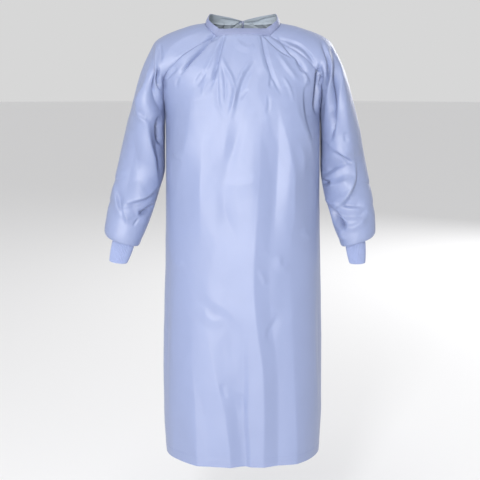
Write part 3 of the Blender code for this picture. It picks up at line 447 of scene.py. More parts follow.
        (0.0, -2.2, 11, 6, (-50, -440), (-6, -462), (34, -450)),
        (0.0, -2.2, 6, 11, (30, -530), (-12, -520), (-52, -536)),
        (0.0, 4, 10, 10, (36, -110), (44, -210), (36, -320)),
    )),
    # Sides of the skirt
    Group(FRONT + BACK, "right", (
        (0.0, -5, 24, 16, (-60, -620), (-64, -900), (-70, -1210)),
        (0.0, -5, 16, 24, (66, -600), (70, -900), (80, -1200)),
    )),
    Group(FRONT + BACK, "left", (
        (0.0, -5, 16, 24, (-56, -640), (-60, -900), (-66, -1210)),
        (0.0, -5, 24, 16, (62, -600), (70, -900), (76, -1200)),
    )),
)

# How a fold falls off: across its line, towards its two ends, and where the cloth turns from its face
MM_PER_METRE = 1000
FOLD_REACH = 1.8
FOLD_POINTEDNESS = 1.2
FOLD_TAPER = 0.28
LONG_FOLD_TAPER = 0.45
WIDE_FOLD = 0.016
FACING_SLOPE = 2.5
CORNER_STEPS = 6

# For each face that folds lie on: the point's axis that runs across its page, which way that
# axis runs there, and the axis and direction in which the face looks
Page = namedtuple("Page", "across sign facing way")
PAGES = {
    "front": Page(0, 1, 1, -1),
    "back": Page(0, -1, 1, 1),
    "left": Page(1, 1, 0, 1),
    "right": Page(1, -1, 0, -1),
}

# Unevenness of the cloth all over: the height of each size of wave, its lengths across and down, and
# whether it is folded into creases
Unevenness = namedtuple("Unevenness", "height across down crisp")
UNEVENNESS = (
    Unevenness(0.0016, 0.110, 0.300, False),
    Unevenness(0.0006, 0.040, 0.090, False),
    Unevenness(-0.0016, 0.075, 0.130, True),
    Unevenness(0.00022, 0.016, 0.024, False),
)

# Seams, hems, band and cuffs. The waist and the ends of the ribs are shares of a cuff's length.
SEAM_DIP = 0.0011
SEAM_DIP_WIDTH = 0.0030
PUCKER = 0.00020
PUCKER_LENGTH = 0.016
PUCKER_WIDTH = 0.008
HEM_ROWS = 4
HEM_RAISE = 0.0006
FACING_COLUMNS = 4
BAND_RAISE = 0.0006
CUFF_RIBS = 38
CUFF_RIB_HEIGHT = 0.0008
CUFF_SWELL = 0.0012
CUFF_WAIST = 0.0006
CUFF_WAIST_REACH = 0.12
RIBS_BEGIN = 0.06
RIBS_END = 0.05

# Rounding of the neck's front corners
NECK_CORNER_ANGLE = 68.0
NECK_CORNER_SPREAD = 20.0
NECK_CORNER_REACH = 0.030
NECK_CORNER_BULGE = 0.0075

# Stitching
STITCH_PITCH = 0.0040
STITCH_LENGTH = 0.0030
THREAD_RADIUS = 0.00035
THREAD_SIDES = 5

# Ties, as in the CAD model
TIE_WIDTH = 0.010
TIE_THICKNESS = 0.0015
TIE_CLEARANCE = 0.0004
TIE_SIDE_GAP = 0.0006
NECK_TIE_TOP = 0.006
NECK_TIE_END = -0.210
NECK_KNOT_Z = -0.016
NECK_TIE_BENDS = (-0.030, -0.095)
NECK_TIE_SPREAD = 0.008
WAIST_Z = -0.420
WAIST_KNOT_X = -0.088
WAIST_TIE_DROP = 0.340
WAIST_TIE_LEFT_START = -0.022
WAIST_TIE_RIGHT_START = -0.150
WAIST_BEND = 0.012
WAIST_BEND_STEPS = 4
WAIST_TIE_SPREAD = 0.013
WAIST_TIE_SPREAD_DROP = 0.110
TIE_STEP = 0.004
KNOT_HEIGHT = 0.013
KNOT_WRAP = 0.0026
KNOT_SIDES = 48
KNOT_ROWS = 16
KNOT_SQUARENESS = 0.7
KNOT_THINNEST = 0.35
KNOT_FULLNESS = 0.6
KNOT_BLEND = 2 * TIE_STEP

# Rays that find the cloth under a tie: how many across and down, and where they start behind it
KNOT_RAYS = (9, 5)
TIE_RAYS = 5
RAY_START_Y = 1.0

# Creases of a knot: the depth as a share, the waves round it, their slant along it, and how narrow
Crease = namedtuple("Crease", "depth waves slant narrowness")
KNOT_CREASES = (
    Crease(0.30, 1.5, 3.2, 6),
    Crease(0.18, 1.0, 4.0, 8),
)

# Outline of a folded tie, across and out as shares of its width and thickness
TIE_OUTLINE = (
    (-0.50, -0.15), (-0.46, -0.45), (-0.20, -0.50), (0.20, -0.50), (0.46, -0.45), (0.50, -0.15),
    (0.50, 0.20), (0.46, 0.48), (0.36, 0.40), (0.15, 0.32), (-0.15, 0.32), (-0.36, 0.40),
    (-0.46, 0.48), (-0.50, 0.20),
)

# Finishes. Colours are linear red, green and blue, and "spread" is how much they vary over the cloth.
Finish = namedtuple("Finish", "colour roughness sheen gloss spread")
GOWN_FINISH = Finish((0.234, 0.282, 0.462), 0.44, 0.06, 0.80, 0.04)
BAND_FINISH = Finish((0.212, 0.244, 0.400), 0.45, 0.06, 0.60, 0.04)
# The inside's pale grey-green is partly the cloth's own colour on that side and partly painted light: it
# is lightened to stand in for light on the shaded inside of the gown.
INSIDE_FINISH_WITH_PAINTED_LIGHT = Finish((0.430, 0.490, 0.555), 0.65, 0.07, 0.40, 0.04)
KNIT_FINISH = Finish((0.282, 0.335, 0.535), 0.85, 0.18, 0.50, 0.06)
TIE_FINISH = Finish((0.228, 0.265, 0.428), 0.50, 0.07, 0.50, 0.08)
THREAD_FINISH = Finish((0.222, 0.260, 0.444), 0.60, 0.10, 0.50, 0.10)
FLOOR_FINISH = Finish((0.88, 0.88, 0.89), 0.90, 0.0, 0.50, 0.0)
SHINE_COLOUR = (1.0, 0.96, 0.88)
SHEEN_ROUGHNESS = 0.4
CLOTH_CLOUDS = 7.0
KNIT_CLOUDS = 60.0
CLOUD_DETAIL = 4.0

# Weave of the cloth and loops of the knit. At a scale of 1 Blender's wave texture has BANDS a metre.
THREADS_PER_METRE = 1500
WEAVE_DEPTH = 0.00005
WEAVE_STRENGTH = 0.5
LOOPS_PER_METRE = 620
LOOP_DEPTH = 0.0002
LOOP_STRENGTH = 0.4
BANDS = 3.18

# Flat size of each cut piece, across and down, and its area
Cut = namedtuple("Cut", "width length area")


def smooth_curve(known_at, known, at):
    """Values at the places asked for, on a smooth curve that never overshoots the known ones."""
    known_at = np.asarray(known_at, float)
    known = np.asarray(known, float)
    at = np.asarray(at, float)
    steps = np.diff(known_at)
    slopes = np.diff(known) / steps
    tangents = np.empty(len(known))
    tangents[0] = slopes[0]
    tangents[-1] = slopes[-1]
    product = slopes[:-1] * slopes[1:]
    total = slopes[:-1] + slopes[1:]
    safe_total = np.where(product > 0, total, 1.0)
    tangents[1:-1] = np.where(product > 0, 2 * product / safe_total, 0.0)
    index = np.clip(np.searchsorted(known_at, at, side="right") - 1, 0, len(steps) - 1)
    step = steps[index]
    t = (at - known_at[index]) / step
    start = (1 + 2 * t) * (1 - t) ** 2 * known[index]
    end = t**2 * (3 - 2 * t) * known[index + 1]
    start_slope = t * (1 - t) ** 2 * step * tangents[index]
    end_slope = t**2 * (t - 1) * step * tangents[index + 1]
    return start + end + start_slope + end_slope


def column(table, name, at):
    """The named column of a table of sections, read at one place."""
    known_at = [section[0] for section in table]
    known = [getattr(section, name) for section in table]
    return float(smooth_curve(known_at, known, at))


def unit(vectors):
    """The same directions with lengths of 1."""
    return vectors / np.linalg.norm(vectors, axis=-1, keepdims=True)


def distances_along(points):
    """How far along a line each of its points lies."""
    lengths = np.linalg.norm(np.diff(points, axis=0), axis=1)
    return np.concatenate([[0.0], np.cumsum(lengths)])


def between(where, along, values):
    """Points or directions at the places asked for along a line."""
    return np.stack([np.interp(where, along, values[:, axis]) for axis in range(3)], axis=1)


def evenly(points, count):
    """The same line as count equal steps."""
    along = distances_along(points)
    line = between(np.linspace(0.0, along[-1], count + 1), along, points)
    line[0] = points[0]
    line[-1] = points[-1]
    return line


def eased(value):
    value = np.clip(value, 0.0, 1.0)
    return value**2 * (3 - 2 * value)


def ridge_point(at):
    return np.array([column(RIDGE, "x", at), column(RIDGE, "y", at), column(RIDGE, "z", at)])


def seam_point(raglan, at, face):
    """A point of a raglan seam, or of the side seam lower down. face is -1 in front, 1 behind."""
    if at >= 1:
        return np.array([column(SIDE_SEAM, name, at) for name in ("x", "y", "z")])
    opening = math.radians(column(raglan, "opening", at))
    depth = column(raglan, "depth", at) * math.sin(opening)
    y = column(RIDGE, "y", at) + face * depth
    return np.array([column(raglan, "x", at), y, column(raglan, "z", at)])


def half_row(middles, raglan, at, face):
    """Half a row of the front or the back, from its centre line out to the seam at +X."""
    seam = seam_point(raglan, at, face)
    middle_y = column(middles, "y", at)
    middle_z = column(middles, "z", at)
    power = 2 / column(middles, "exponent", at)
    wrap = math.radians(column(middles, "wrap", at))
    angle = np.linspace(0.0, wrap, FINE_STEPS + 1)
    across = np.sin(angle) ** power
    round_side = np.maximum(np.cos(angle), 0.0) ** power
    x = seam[0] * across / across[-1]
    y = middle_y + (seam[1] - middle_y) * (1 - round_side) / (1 - round_side[-1])
    z = middle_z + (seam[2] - middle_z) * (x / seam[0]) ** 2
    line = np.stack([x, y, z], axis=1)
    line[-1] = seam
    return line


def mirrored(points):
    return points * np.array([-1.0, 1.0, 1.0])


def panel_positions():
    """Where the rows of the front and back lie, from the neck seam to the hem."""
    yoke = np.linspace(0.0, 1.0, YOKE_ROWS + 1)
    body = np.linspace(1.0, 2.0, BODY_ROWS + 1)
    return np.concatenate([yoke, body[1:]])


def front_grid():
    rows = []
    for at in panel_positions():
        half = evenly(half_row(CHEST, FRONT_RAGLAN, at, -1), FRONT_COLUMNS // 2)
        rows.append(np.concatenate([mirrored(half[:0:-1]), half]))
    return np.array(rows)


def lap_reach(at):
    """How far past the centre a back panel reaches."""
    return eased((at - LAP_BEGINS) / (LAP_FULL - LAP_BEGINS)) * (NECK_SLIT + LAP) - NECK_SLIT


def lap_lift(at):
    return eased((at - LIFT_BEGINS) / (LIFT_FULL - LIFT_BEGINS)) * LIFT


def back_grid():
    """The wearer's left back panel, from the side seam to its edge at the lap."""
    rows = []
    for at in panel_positions():
        half = half_row(SPINE, BACK_RAGLAN, at, 1)
        whole = np.concatenate([half[::-1], mirrored(half[1:])])
        edge_x = -lap_reach(at)
        kept = whole[whole[:, 0] > edge_x + EDGE_TOLERANCE]
        order = np.argsort(whole[:, 0])
        edge = [np.interp(edge_x, whole[order, 0], whole[order, axis]) for axis in range(3)]
        rows.append(evenly(np.concatenate([kept, [edge]]), BACK_COLUMNS))
    return np.array(rows)


def lifted(grid):
    """The outer back panel stands off the inner one where they lap."""
    raised = grid.copy()
    for row, at in zip(raised, panel_positions()):
        near = eased((LIFT_NONE_X - row[:, 0]) / (LIFT_NONE_X - LIFT_FULL_X))
        row[:, 1] += lap_lift(at) * near
    return raised


def sleeve_half(seam, ridge, depth, opening, face, columns):
    """Half of a sleeve's row, on an oval from a seam point round to the outermost point."""
    angle = np.linspace(opening, math.pi, FINE_STEPS + 1)
    spread = (math.cos(opening) - np.cos(angle)) / (1 + math.cos(opening))
    line = seam + spread[:, None] * (ridge - seam)
    line[:, 1] = ridge[1] + face * depth * np.sin(angle)
    line[0] = seam
    line[-1] = ridge
    return evenly(line, columns // 2)


def sleeve_row(arm, at, columns=SLEEVE_COLUMNS):
    """One row of the wearer's left sleeve, from its front seam over the outside to its back seam."""
    if at < 1:
        ridge = ridge_point(at)
        front = seam_point(FRONT_RAGLAN, at, -1)
        back = seam_point(BACK_RAGLAN, at, 1)
        front_depth = column(FRONT_RAGLAN, "depth", at)
        back_depth = column(BACK_RAGLAN, "depth", at)
        front_opening = math.radians(column(FRONT_RAGLAN, "opening", at))
        back_opening = math.radians(column(BACK_RAGLAN, "opening", at))
    else:
        middle_y = column(arm, "middle_y", at)
        ridge = np.array([column(arm, "outer_x", at), middle_y, column(arm, "outer_z", at)])
        front = np.array([column(arm, "inner_x", at), middle_y, column(arm, "inner_z", at)])
        back = front
        front_depth = column(arm, "front_depth", at)
        back_depth = column(arm, "back_depth", at)
        front_opening = 0.0
        back_opening = 0.0
    front_half = sleeve_half(front, ridge, front_depth, front_opening, -1, columns)
    back_half = sleeve_half(back, ridge, back_depth, back_opening, 1, columns)
    return np.concatenate([front_half, back_half[-2::-1]])


def sleeve_positions(arm):
    yoke = np.linspace(0.0, 1.0, YOKE_ROWS + 1)
    below = np.linspace(1.0, arm[-3].at, ARM_ROWS - GATHERED_ROWS)
    gathered = np.linspace(arm[-3].at, 2.0, GATHERED_ROWS + 1)
    return np.concatenate([yoke, below[1:], gathered[1:]])


def sleeve_grid(arm):
    return np.array([sleeve_row(arm, at) for at in sleeve_positions(arm)])


def cuff_grid(arm, end):
    """A cuff, from the end of its sleeve to its own end."""
    outer = np.array([end.outer_x, end.middle_y, end.outer_z])
    inner = np.array([end.inner_x, end.middle_y, end.inner_z])
    front = sleeve_half(inner, outer, end.depth, 0.0, -1, CUFF_COLUMNS)
    back = sleeve_half(inner, outer, end.depth, 0.0, 1, CUFF_COLUMNS)
    bottom = np.concatenate([front, back[-2::-1]])
    share = np.linspace(0.0, 1.0, CUFF_ROWS + 1)[:, None, None]
    return (1 - share) * sleeve_row(arm, 2.0, CUFF_COLUMNS) + share * bottom


def band_grid(seam_line):
    """The neck band, from its top edge down to the neck seam."""
    angle = np.degrees(np.arctan2(np.abs(seam_line[:, 0]), -seam_line[:, 1]))
    known = [section.angle for section in NECK_BAND]
    rise = smooth_curve(known, [section.rise for section in NECK_BAND], angle)
    lean = smooth_curve(known, [section.lean for section in NECK_BAND], angle)
    outwards = unit(seam_line * np.array([1.0, 1.0, 0.0]))
    top = seam_line + rise[:, None] * np.array([0.0, 0.0, 1.0]) - lean[:, None] * outwards
    share = np.linspace(0.0, 1.0, BAND_ROWS + 1)[:, None, None]
    bulge = 4 * share * (1 - share) * BAND_BULGE * outwards
    return (1 - share) * top + share * seam_line + bulge


class Cloth:
    """One cut piece: the points of its outer side, its faces, and its grid of point numbers."""

    def __init__(self, name, grid, thickness, first_closed_row=None):
        rows, columns = grid.shape[:2]
        flat = np.arange(rows * columns).reshape(rows, columns)
        place = flat.copy()
        if first_closed_row is not None:
            place[first_closed_row:, -1] = place[first_closed_row:, 0]
        used = np.unique(place)
        renumbered = np.zeros(rows * columns, int)
        renumbered[used] = np.arange(len(used))
        self.name = name
        self.grid = renumbered[place]
        self.points = grid.reshape(-1, 3)[used]
        self.faces = quads_of(self.grid)
        self.unrolled = quads_of(flat)
        self.thread = thread_places(grid)
        self.thickness = thickness
        self.raised = np.zeros(len(used))

    def raise_rows(self, rows, height):
        self.raised[self.grid[rows].ravel()] = height

    def raise_columns(self, columns, height):
        self.raised[self.grid[:, columns].ravel()] = height


def quads_of(numbers):
    """The quads of a grid of point numbers, outward side first."""
    corners = (numbers[:-1, :-1], numbers[1:, :-1], numbers[1:, 1:], numbers[:-1, 1:])
    return np.stack([corner.ravel() for corner in corners], axis=1)


def thread_places(grid):
    """For each grid point, how far it lies across and down the cut piece, in metres."""
    across = np.linalg.norm(np.diff(grid, axis=1), axis=2).cumsum(axis=1)
    across = np.concatenate([np.zeros((len(grid), 1)), across], axis=1)
    across -= across[:, -1:] / 2
    down = np.linalg.norm(np.diff(grid, axis=0), axis=2).mean(axis=1).cumsum()
    down = np.concatenate([[0.0], down])[:, None] + np.zeros(grid.shape[:2])
    return np.stack([across, down, np.zeros(grid.shape[:2])], axis=2).reshape(-1, 3)


def sewn_together(pieces):
    """One list of points for all pieces, which share those on a seam, and each piece's numbers in it."""
    everything = np.concatenate([piece.points for piece in pieces])
    keys = np.round(everything * WELDS_PER_METRE).astype(np.int64)
    _, first, index = np.unique(keys, axis=0, return_index=True, return_inverse=True)
    index = index.reshape(-1)
    numbers = []
    start = 0
    for piece in pieces:
        numbers.append(index[start : start + len(piece.points)])
        start += len(piece.points)
    return everything[first], numbers


def surface_normals(points, pieces, numbers):
    """Outward directions at the shared points, and how much longer a wall is along them at a crease."""
    total = np.zeros_like(points)
    area = np.zeros(len(points))
    for piece, number in zip(pieces, numbers):
        quads = number[piece.faces]
        first, second, third, fourth = (points[quads[:, corner]] for corner in range(4))
        normal = np.cross(third - first, fourth - second)
        size = np.linalg.norm(normal, axis=1)
        for corner in range(4):
            np.add.at(total, quads[:, corner], normal)
            np.add.at(area, quads[:, corner], size)
    length = np.linalg.norm(total, axis=1)
    thickening = np.minimum(area / length, MOST_THICKENING)
    normals = total / length[:, None]
    underarm = seam_point(FRONT_RAGLAN, 1.0, -1)
    for point in (underarm, mirrored(underarm)):
        near = np.linalg.norm(points - point, axis=1) < EDGE_TOLERANCE
        normals[near] = (0.0, 0.0, -1.0)
        thickening[near] = 1.0
    return normals, thickening


def line_distance(across, up, line):
    """Signed distance of each point to a line of corners, and how far along it is, from 0 to 1."""
    best = np.full(len(across), np.inf)
    side = np.zeros(len(across))
    along = np.zeros(len(across))
    corners = np.array(line)
    before = distances_along(corners)
    for (x0, z0), (x1, z1), length, start in zip(corners, corners[1:], np.diff(before), before):
        share = ((across - x0) * (x1 - x0) + (up - z0) * (z1 - z0)) / length**2
        share = np.clip(share, 0.0, 1.0)
        distance = np.hypot(across - x0 - share * (x1 - x0), up - z0 - share * (z1 - z0))
        turn = (x1 - x0) * (up - z0) - (z1 - z0) * (across - x0)
        nearer = distance < best
        best = np.where(nearer, distance, best)
        side = np.where(nearer, np.sign(turn), side)
        along = np.where(nearer, (start + share * length) / before[-1], along)
    return best * side, along


def rounded(corners):
    """A smooth line of points through the corners of a fold."""
    at = distances_along(corners)
    wanted = np.linspace(0.0, at[-1], CORNER_STEPS * (len(corners) - 1) + 1)
    if len(corners) == 2:
        return corners
    return np.stack([smooth_curve(at, corners[:, axis], wanted) for axis in (0, 1)], axis=1)


def fold_height(fold, page, points, normals):
    """How far one fold moves each point: a tent across its line that fades at both ends."""
    facing = eased(FACING_SLOPE * page.way * normals[:, page.facing])
    line = rounded(fold.points) * np.array([page.sign, 1])
    distance, along = line_distance(page.sign * points[:, page.across], points[:, 2], line)
    width = np.where(distance > 0, fold.right, fold.left)
    across = np.maximum(1 - np.abs(distance) / (FOLD_REACH * width), 0.0) ** FOLD_POINTEDNESS
    taper = LONG_FOLD_TAPER if max(fold.left, fold.right) > WIDE_FOLD else FOLD_TAPER
    rise = fold.start + (1 - fold.start) * np.minimum(along / taper, 1.0)
    fall = np.minimum((1 - along) / taper, 1.0)
    return fold.depth * across * rise * fall * facing


def in_metres(start, depth, left, right, *points):
    """A fold from a row of the table, with its lengths in metres."""
    depth, left, right = (length / MM_PER_METRE for length in (depth, left, right))
    return Fold(start, depth, left, right, np.array(points) / MM_PER_METRE)


def relief(points, normals, belongs):
    """How far the folds move each shared point along its outward direction."""
    height = np.zeros(len(points))
    for group in FOLDS:
        member = np.any([belongs[name] for name in group.cloth], axis=0)
        page = PAGES[group.face]
        for row in group.rows:
            height[member] += fold_height(in_metres(*row), page, points[member], normals[member])
    return height


def nearest(points, targets):
    """For each point, the nearest of the targets, its number and how far it is."""
    tree = KDTree(len(targets))
    for number, target in enumerate(targets):
        tree.insert(target, number)
    tree.balance()
    return [tree.find(point) for point in points]


def rounded_neck(points, seam):
    """The points with the cloth beside the neck's front corners moved outwards and down."""
    distance = np.array([found[2] for found in nearest(points, seam)])
    angle = np.degrees(np.arctan2(np.abs(points[:, 0]), -points[:, 1]))
    bulge = np.exp(-(((angle - NECK_CORNER_ANGLE) / NECK_CORNER_SPREAD) ** 2))
    bulge *= NECK_CORNER_BULGE * np.exp(-((distance / NECK_CORNER_REACH) ** 2)) / math.sqrt(2)
    return points + np.stack([np.sign(points[:, 0]) * bulge, np.zeros(len(points)), -bulge], axis=1)


def unevenness(points):
    """The small waves and creases that lie all over the cloth."""
    height = np.zeros(len(points))
    for wave in UNEVENNESS:
        scale = np.array([1 / wave.across, 1 / wave.across, 1 / wave.down])
        heights = np.array([noise.noise(Vector(place)) for place in points * scale])
        height += wave.height * (np.abs(heights) if wave.crisp else heights)
    return height


def seam_relief(points, belongs):
    """The dip at the seams, with its puckers."""
    shared = np.sum([belongs[name] for name in belongs], axis=0) > 1
    on_seams = nearest(points, points[shared])
    distance = np.array([found[2] for found in on_seams])
    level = np.array([found[0].z + found[0].x for found in on_seams])
    dip = -SEAM_DIP * np.exp(-((distance / SEAM_DIP_WIDTH) ** 2))
    ripple = PUCKER * np.sin(2 * math.pi * level / PUCKER_LENGTH)
    ripple *= np.exp(-((distance / PUCKER_WIDTH) ** 2))
    return dip + ripple


def border(faces):
    """The edges that only one face has, in the direction in which it has them."""
    edges = np.concatenate([faces[:, [i, (i + 1) % 4]] for i in range(4)])
    size = faces.max() + 1
    forward = edges[:, 0] * size + edges[:, 1]
    backward = edges[:, 1] * size + edges[:, 0]
    return edges[~np.isin(forward, backward)]


def pulled_back(points, faces, edges):
    """The points with the border moved in by half the seam's gap."""
    rim = np.zeros(len(points), bool)
    rim[edges] = True
    middles = points[faces].mean(axis=1)
    inwards = np.zeros_like(points)
    count = np.zeros(len(points))
    for corner in range(4):
        np.add.at(inwards, faces[:, corner], middles)
        np.add.at(count, faces[:, corner], 1)
    inwards = inwards / count[:, None] - points
    tangent = np.zeros_like(points)
    np.add.at(tangent, edges[:, 0], points[edges[:, 1]] - points[edges[:, 0]])
    np.add.at(tangent, edges[:, 1], points[edges[:, 1]] - points[edges[:, 0]])
    tangent /= np.maximum(np.linalg.norm(tangent, axis=1), EDGE_TOLERANCE)[:, None]
    inwards -= (inwards * tangent).sum(axis=1)[:, None] * tangent
    inwards /= np.maximum(np.linalg.norm(inwards, axis=1), EDGE_TOLERANCE)[:, None]
    return np.where(rim[:, None], points + inwards * SEAM_GAP / 2, points)


def shell_object(piece, points, normals, thickening, materials):
    """A closed thin shell: the outer side, the inner side and the edge that joins them."""
    edges = border(piece.faces)
    outer = pulled_back(points, piece.faces, edges)
    inner = outer - normals * (piece.thickness * thickening)[:, None]
    count = len(outer)
    rim = np.stack([edges[:, 1], edges[:, 0], edges[:, 0] + count, edges[:, 1] + count], axis=1)
    faces = np.concatenate([piece.faces, piece.faces[:, ::-1] + count, rim])
    mesh = bpy.data.meshes.new(piece.name)
    mesh.from_pydata(np.concatenate([outer, inner]), [], faces)
    places = np.concatenate([piece.thread[piece.unrolled], piece.thread[piece.unrolled[:, ::-1]]])
    thread = mesh.attributes.new("thread", "FLOAT_VECTOR", "CORNER")
    values = np.zeros((len(faces) * 4, 3), np.float32)
    values[: len(places) * 4] = places.reshape(-1, 3)
    thread.data.foreach_set("vector", values.ravel())
    side = np.zeros(len(faces), np.int32)
    side[len(piece.faces) : 2 * len(piece.faces)] = 1
    mesh.polygons.foreach_set("material_index", side)
    for material in materials:
        mesh.materials.append(material)
    mesh.shade_smooth()
    mesh.set_sharp_from_angle(angle=SHARP_ANGLE)
    mesh.update()
    return link(piece.name, mesh)


def link(name, data):
    made = bpy.data.objects.new(name, data)
    bpy.context.scene.collection.objects.link(made)
    return made


def cut_pieces():
    """Every piece of the gown's shell, before its folds."""
    front = front_grid()
    back_left = back_grid()
    back_right = mirrored(back_left)[:, ::-1]
    sleeve_left = sleeve_grid(LEFT_ARM)
    sleeve_right = mirrored(sleeve_grid(RIGHT_ARM))[:, ::-1]
    neck_parts = (
        back_right[0],
        sleeve_right[0][1:],
        front[0][1:],
        sleeve_left[0][1:],
        back_left[0][1:],
    )
    pieces = {
        "front_panel": Cloth("front_panel_cloth", front, SHELL),
        "back_panel_left": Cloth("back_panel_left_cloth", lifted(back_left), SHELL),
        "back_panel_right": Cloth("back_panel_right_cloth", back_right, SHELL),
        "sleeve_left": Cloth("sleeve_left_cloth", sleeve_left, SHELL, YOKE_ROWS),
        "sleeve_right": Cloth("sleeve_right_cloth", sleeve_right, SHELL, YOKE_ROWS),
        "neck_band": Cloth("neck_band_cloth", band_grid(np.concatenate(neck_parts)), BAND_SHELL),
    }
    for name in ("front_panel", "back_panel_left", "back_panel_right"):
        pieces[name].raise_rows(slice(-HEM_ROWS - 1, None), HEM_RAISE)
    pieces["back_panel_left"].raise_columns(slice(-FACING_COLUMNS - 1, None), HEM_RAISE)
    pieces["back_panel_right"].raise_columns(slice(None, FACING_COLUMNS + 1), HEM_RAISE)
    pieces["neck_band"].raise_rows(slice(None, -1), BAND_RAISE)
    return pieces


def make_gown(cloth, band, inside, knit):
    """The folded shell of the gown. Gives back its pieces with their final points and directions."""
    pieces = cut_pieces()
    names = list(pieces)
    cut = list(pieces.values())
    points, numbers = sewn_together(cut)
    points = rounded_neck(points, pieces["neck_band"].points[pieces["neck_band"].grid[-1]])
    normals, _ = surface_normals(points, cut, numbers)
    belongs = {}
    raised = np.zeros(len(points))
    for name, piece, number in zip(names, cut, numbers):
        belongs[name] = np.isin(np.arange(len(points)), number)
        raised[number] = np.maximum(raised[number], piece.raised)
    height = relief(points, normals, belongs) + unevenness(points) + seam_relief(points, belongs)
    points = points + normals * (height + raised)[:, None]
    normals, thickening = surface_normals(points, cut, numbers)
    for name, piece, number in zip(names, cut, numbers):
        piece.points = points[number]
        piece.normals = normals[number]
        outside = band if name == "neck_band" else cloth
        made = shell_object(piece, piece.points, piece.normals, thickening[number], (outside, inside))
        declare(made, "band_cloth" if name == "neck_band" else "gown_cloth", name)
        piece.made = made
    for side, arm in (("left", LEFT_ARM), ("right", RIGHT_ARM)):
        pieces["cuff_" + side] = make_cuff(side, arm, knit)
    return pieces


def make_cuff(side, arm, knit):
    """A ribbed cuff. Its ribs fade at the sleeve's seam and at its folded end."""
    grid = cuff_grid(arm, CUFF_ENDS[side])
    if side == "right":
        grid = mirrored(grid)[:, ::-1]
    piece = Cloth("cuff_" + side + "_knit", grid, CUFF_SHELL, 0)
    normals, _ = surface_normals(piece.points, [piece], [np.arange(len(piece.points))])
    rows, columns = np.divmod(np.arange(len(piece.points)), CUFF_COLUMNS)
    ribs = np.cos(2 * math.pi * columns * CUFF_RIBS / CUFF_COLUMNS)
    down = rows / CUFF_ROWS
    swell = CUFF_SWELL * np.sin(math.pi * down) - CUFF_WAIST * np.exp(-((down / CUFF_WAIST_REACH) ** 2))
    ribs *= eased(down / RIBS_BEGIN) * eased((1 - down) / RIBS_END)
    height = CUFF_RIB_HEIGHT * ribs + swell
    piece.points = piece.points + normals * height[:, None]
    normals, thickening = surface_normals(piece.points, [piece], [np.arange(len(piece.points))])
    piece.normals = normals
    made = shell_object(piece, piece.points, normals, thickening, (knit, knit))
    declare(made, "cuff_knit", "cuff_" + side)
    piece.made = made
    return piece


def declare(made, slot, *nodes):
    """Hangs a piece on the gown's body and hides the CAD nodes that it stands for. Its slot is not used.
    """
    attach(made, "root")
    if nodes:
        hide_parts(*nodes)


def stitch_rows(gown):
    """The lines of grid points that are stitched, each with its piece."""
    rows = []
    for name in ("front_panel", "back_panel_left", "back_panel_right"):
        rows.append((name, gown[name].grid[-HEM_ROWS - 2]))
    rows.append(("back_panel_left", gown["back_panel_left"].grid[:, -FACING_COLUMNS - 2]))
    rows.append(("back_panel_right", gown["back_panel_right"].grid[:, FACING_COLUMNS + 1]))
    for side in (1, -2):
        rows.append(("front_panel", gown["front_panel"].grid[:, side]))
    for sleeve in ("sleeve_left", "sleeve_right"):
        for side in (1, -2):
            rows.append((sleeve, gown[sleeve].grid[: YOKE_ROWS + 1, side]))
        rows.append((sleeve, gown[sleeve].grid[YOKE_ROWS:-GATHERED_ROWS, 1]))
    for row in (1, -2):
        rows.append(("neck_band", gown["neck_band"].grid[row]))
    return rows


def make_stitching(gown, material):
    """Short threads along every stitched line, half sunk in the cloth."""
    starts = []
    ends = []
    outwards = []
    for name, numbers in stitch_rows(gown):
        points = gown[name].points[numbers]
        normals = gown[name].normals[numbers]
        along = distances_along(points)
        begins = np.arange(STITCH_PITCH, along[-1] - STITCH_PITCH, STITCH_PITCH)
        starts.append(between(begins, along, points))
        ends.append(between(begins + STITCH_LENGTH, along, points))
        outwards.append(between(begins, along, normals))
    starts = np.concatenate(starts)
    ends = np.concatenate(ends)
    outwards = np.concatenate(outwards)
    middle = (starts + ends) / 2 + outwards * THREAD_RADIUS / 2
    half = (ends - starts) / 2
    sideways = unit(np.cross(half, outwards))
    rings = [middle - half, middle + half]
    for angle in 2 * math.pi * np.arange(THREAD_SIDES) / THREAD_SIDES:
        across = THREAD_RADIUS * (math.cos(angle) * sideways + math.sin(angle) * outwards)
        rings.append(middle - half / 2 + across)
        rings.append(middle + half / 2 + across)
    points = np.stack(rings, axis=1)
    faces = []
    for side in range(THREAD_SIDES):
        near = 2 + 2 * side
        far = near + 1
        next_near = 2 + 2 * ((side + 1) % THREAD_SIDES)
        next_far = next_near + 1
        faces += [(0, near, next_near), (near, far, next_near)]
        faces += [(far, next_far, next_near), (far, 1, next_far)]
    every = (np.arange(len(points))[:, None, None] * points.shape[1] + np.array(faces)).reshape(-1, 3)
    mesh = bpy.data.meshes.new("seam_stitching")
    mesh.from_pydata(points.reshape(-1, 3), [], every.tolist())
    mesh.materials.append(material)
    declare(link("seam_stitching", facing_out(mesh)), "gown_cloth")


def back_y(surfaces, x, z):
    """How far back the cloth reaches at x and z, or nothing where there is none."""
    start = Vector((x, RAY_START_Y, z))
    forwards = Vector((0.0, -1.0, 0.0))
    hits = [tree.ray_cast(start, forwards)[0] for tree in surfaces]
    return max((hit.y for hit in hits if hit is not None), default=-math.inf)


def stepped(corners):
    """A route of x and z through its corners, in steps of about TIE_STEP."""
    corners = np.array(corners)
    flat = np.stack([corners[:, 0], np.zeros(len(corners)), corners[:, 1]], axis=1)
    return evenly(flat, round(distances_along(flat)[-1] / TIE_STEP))[:, [0, 2]]


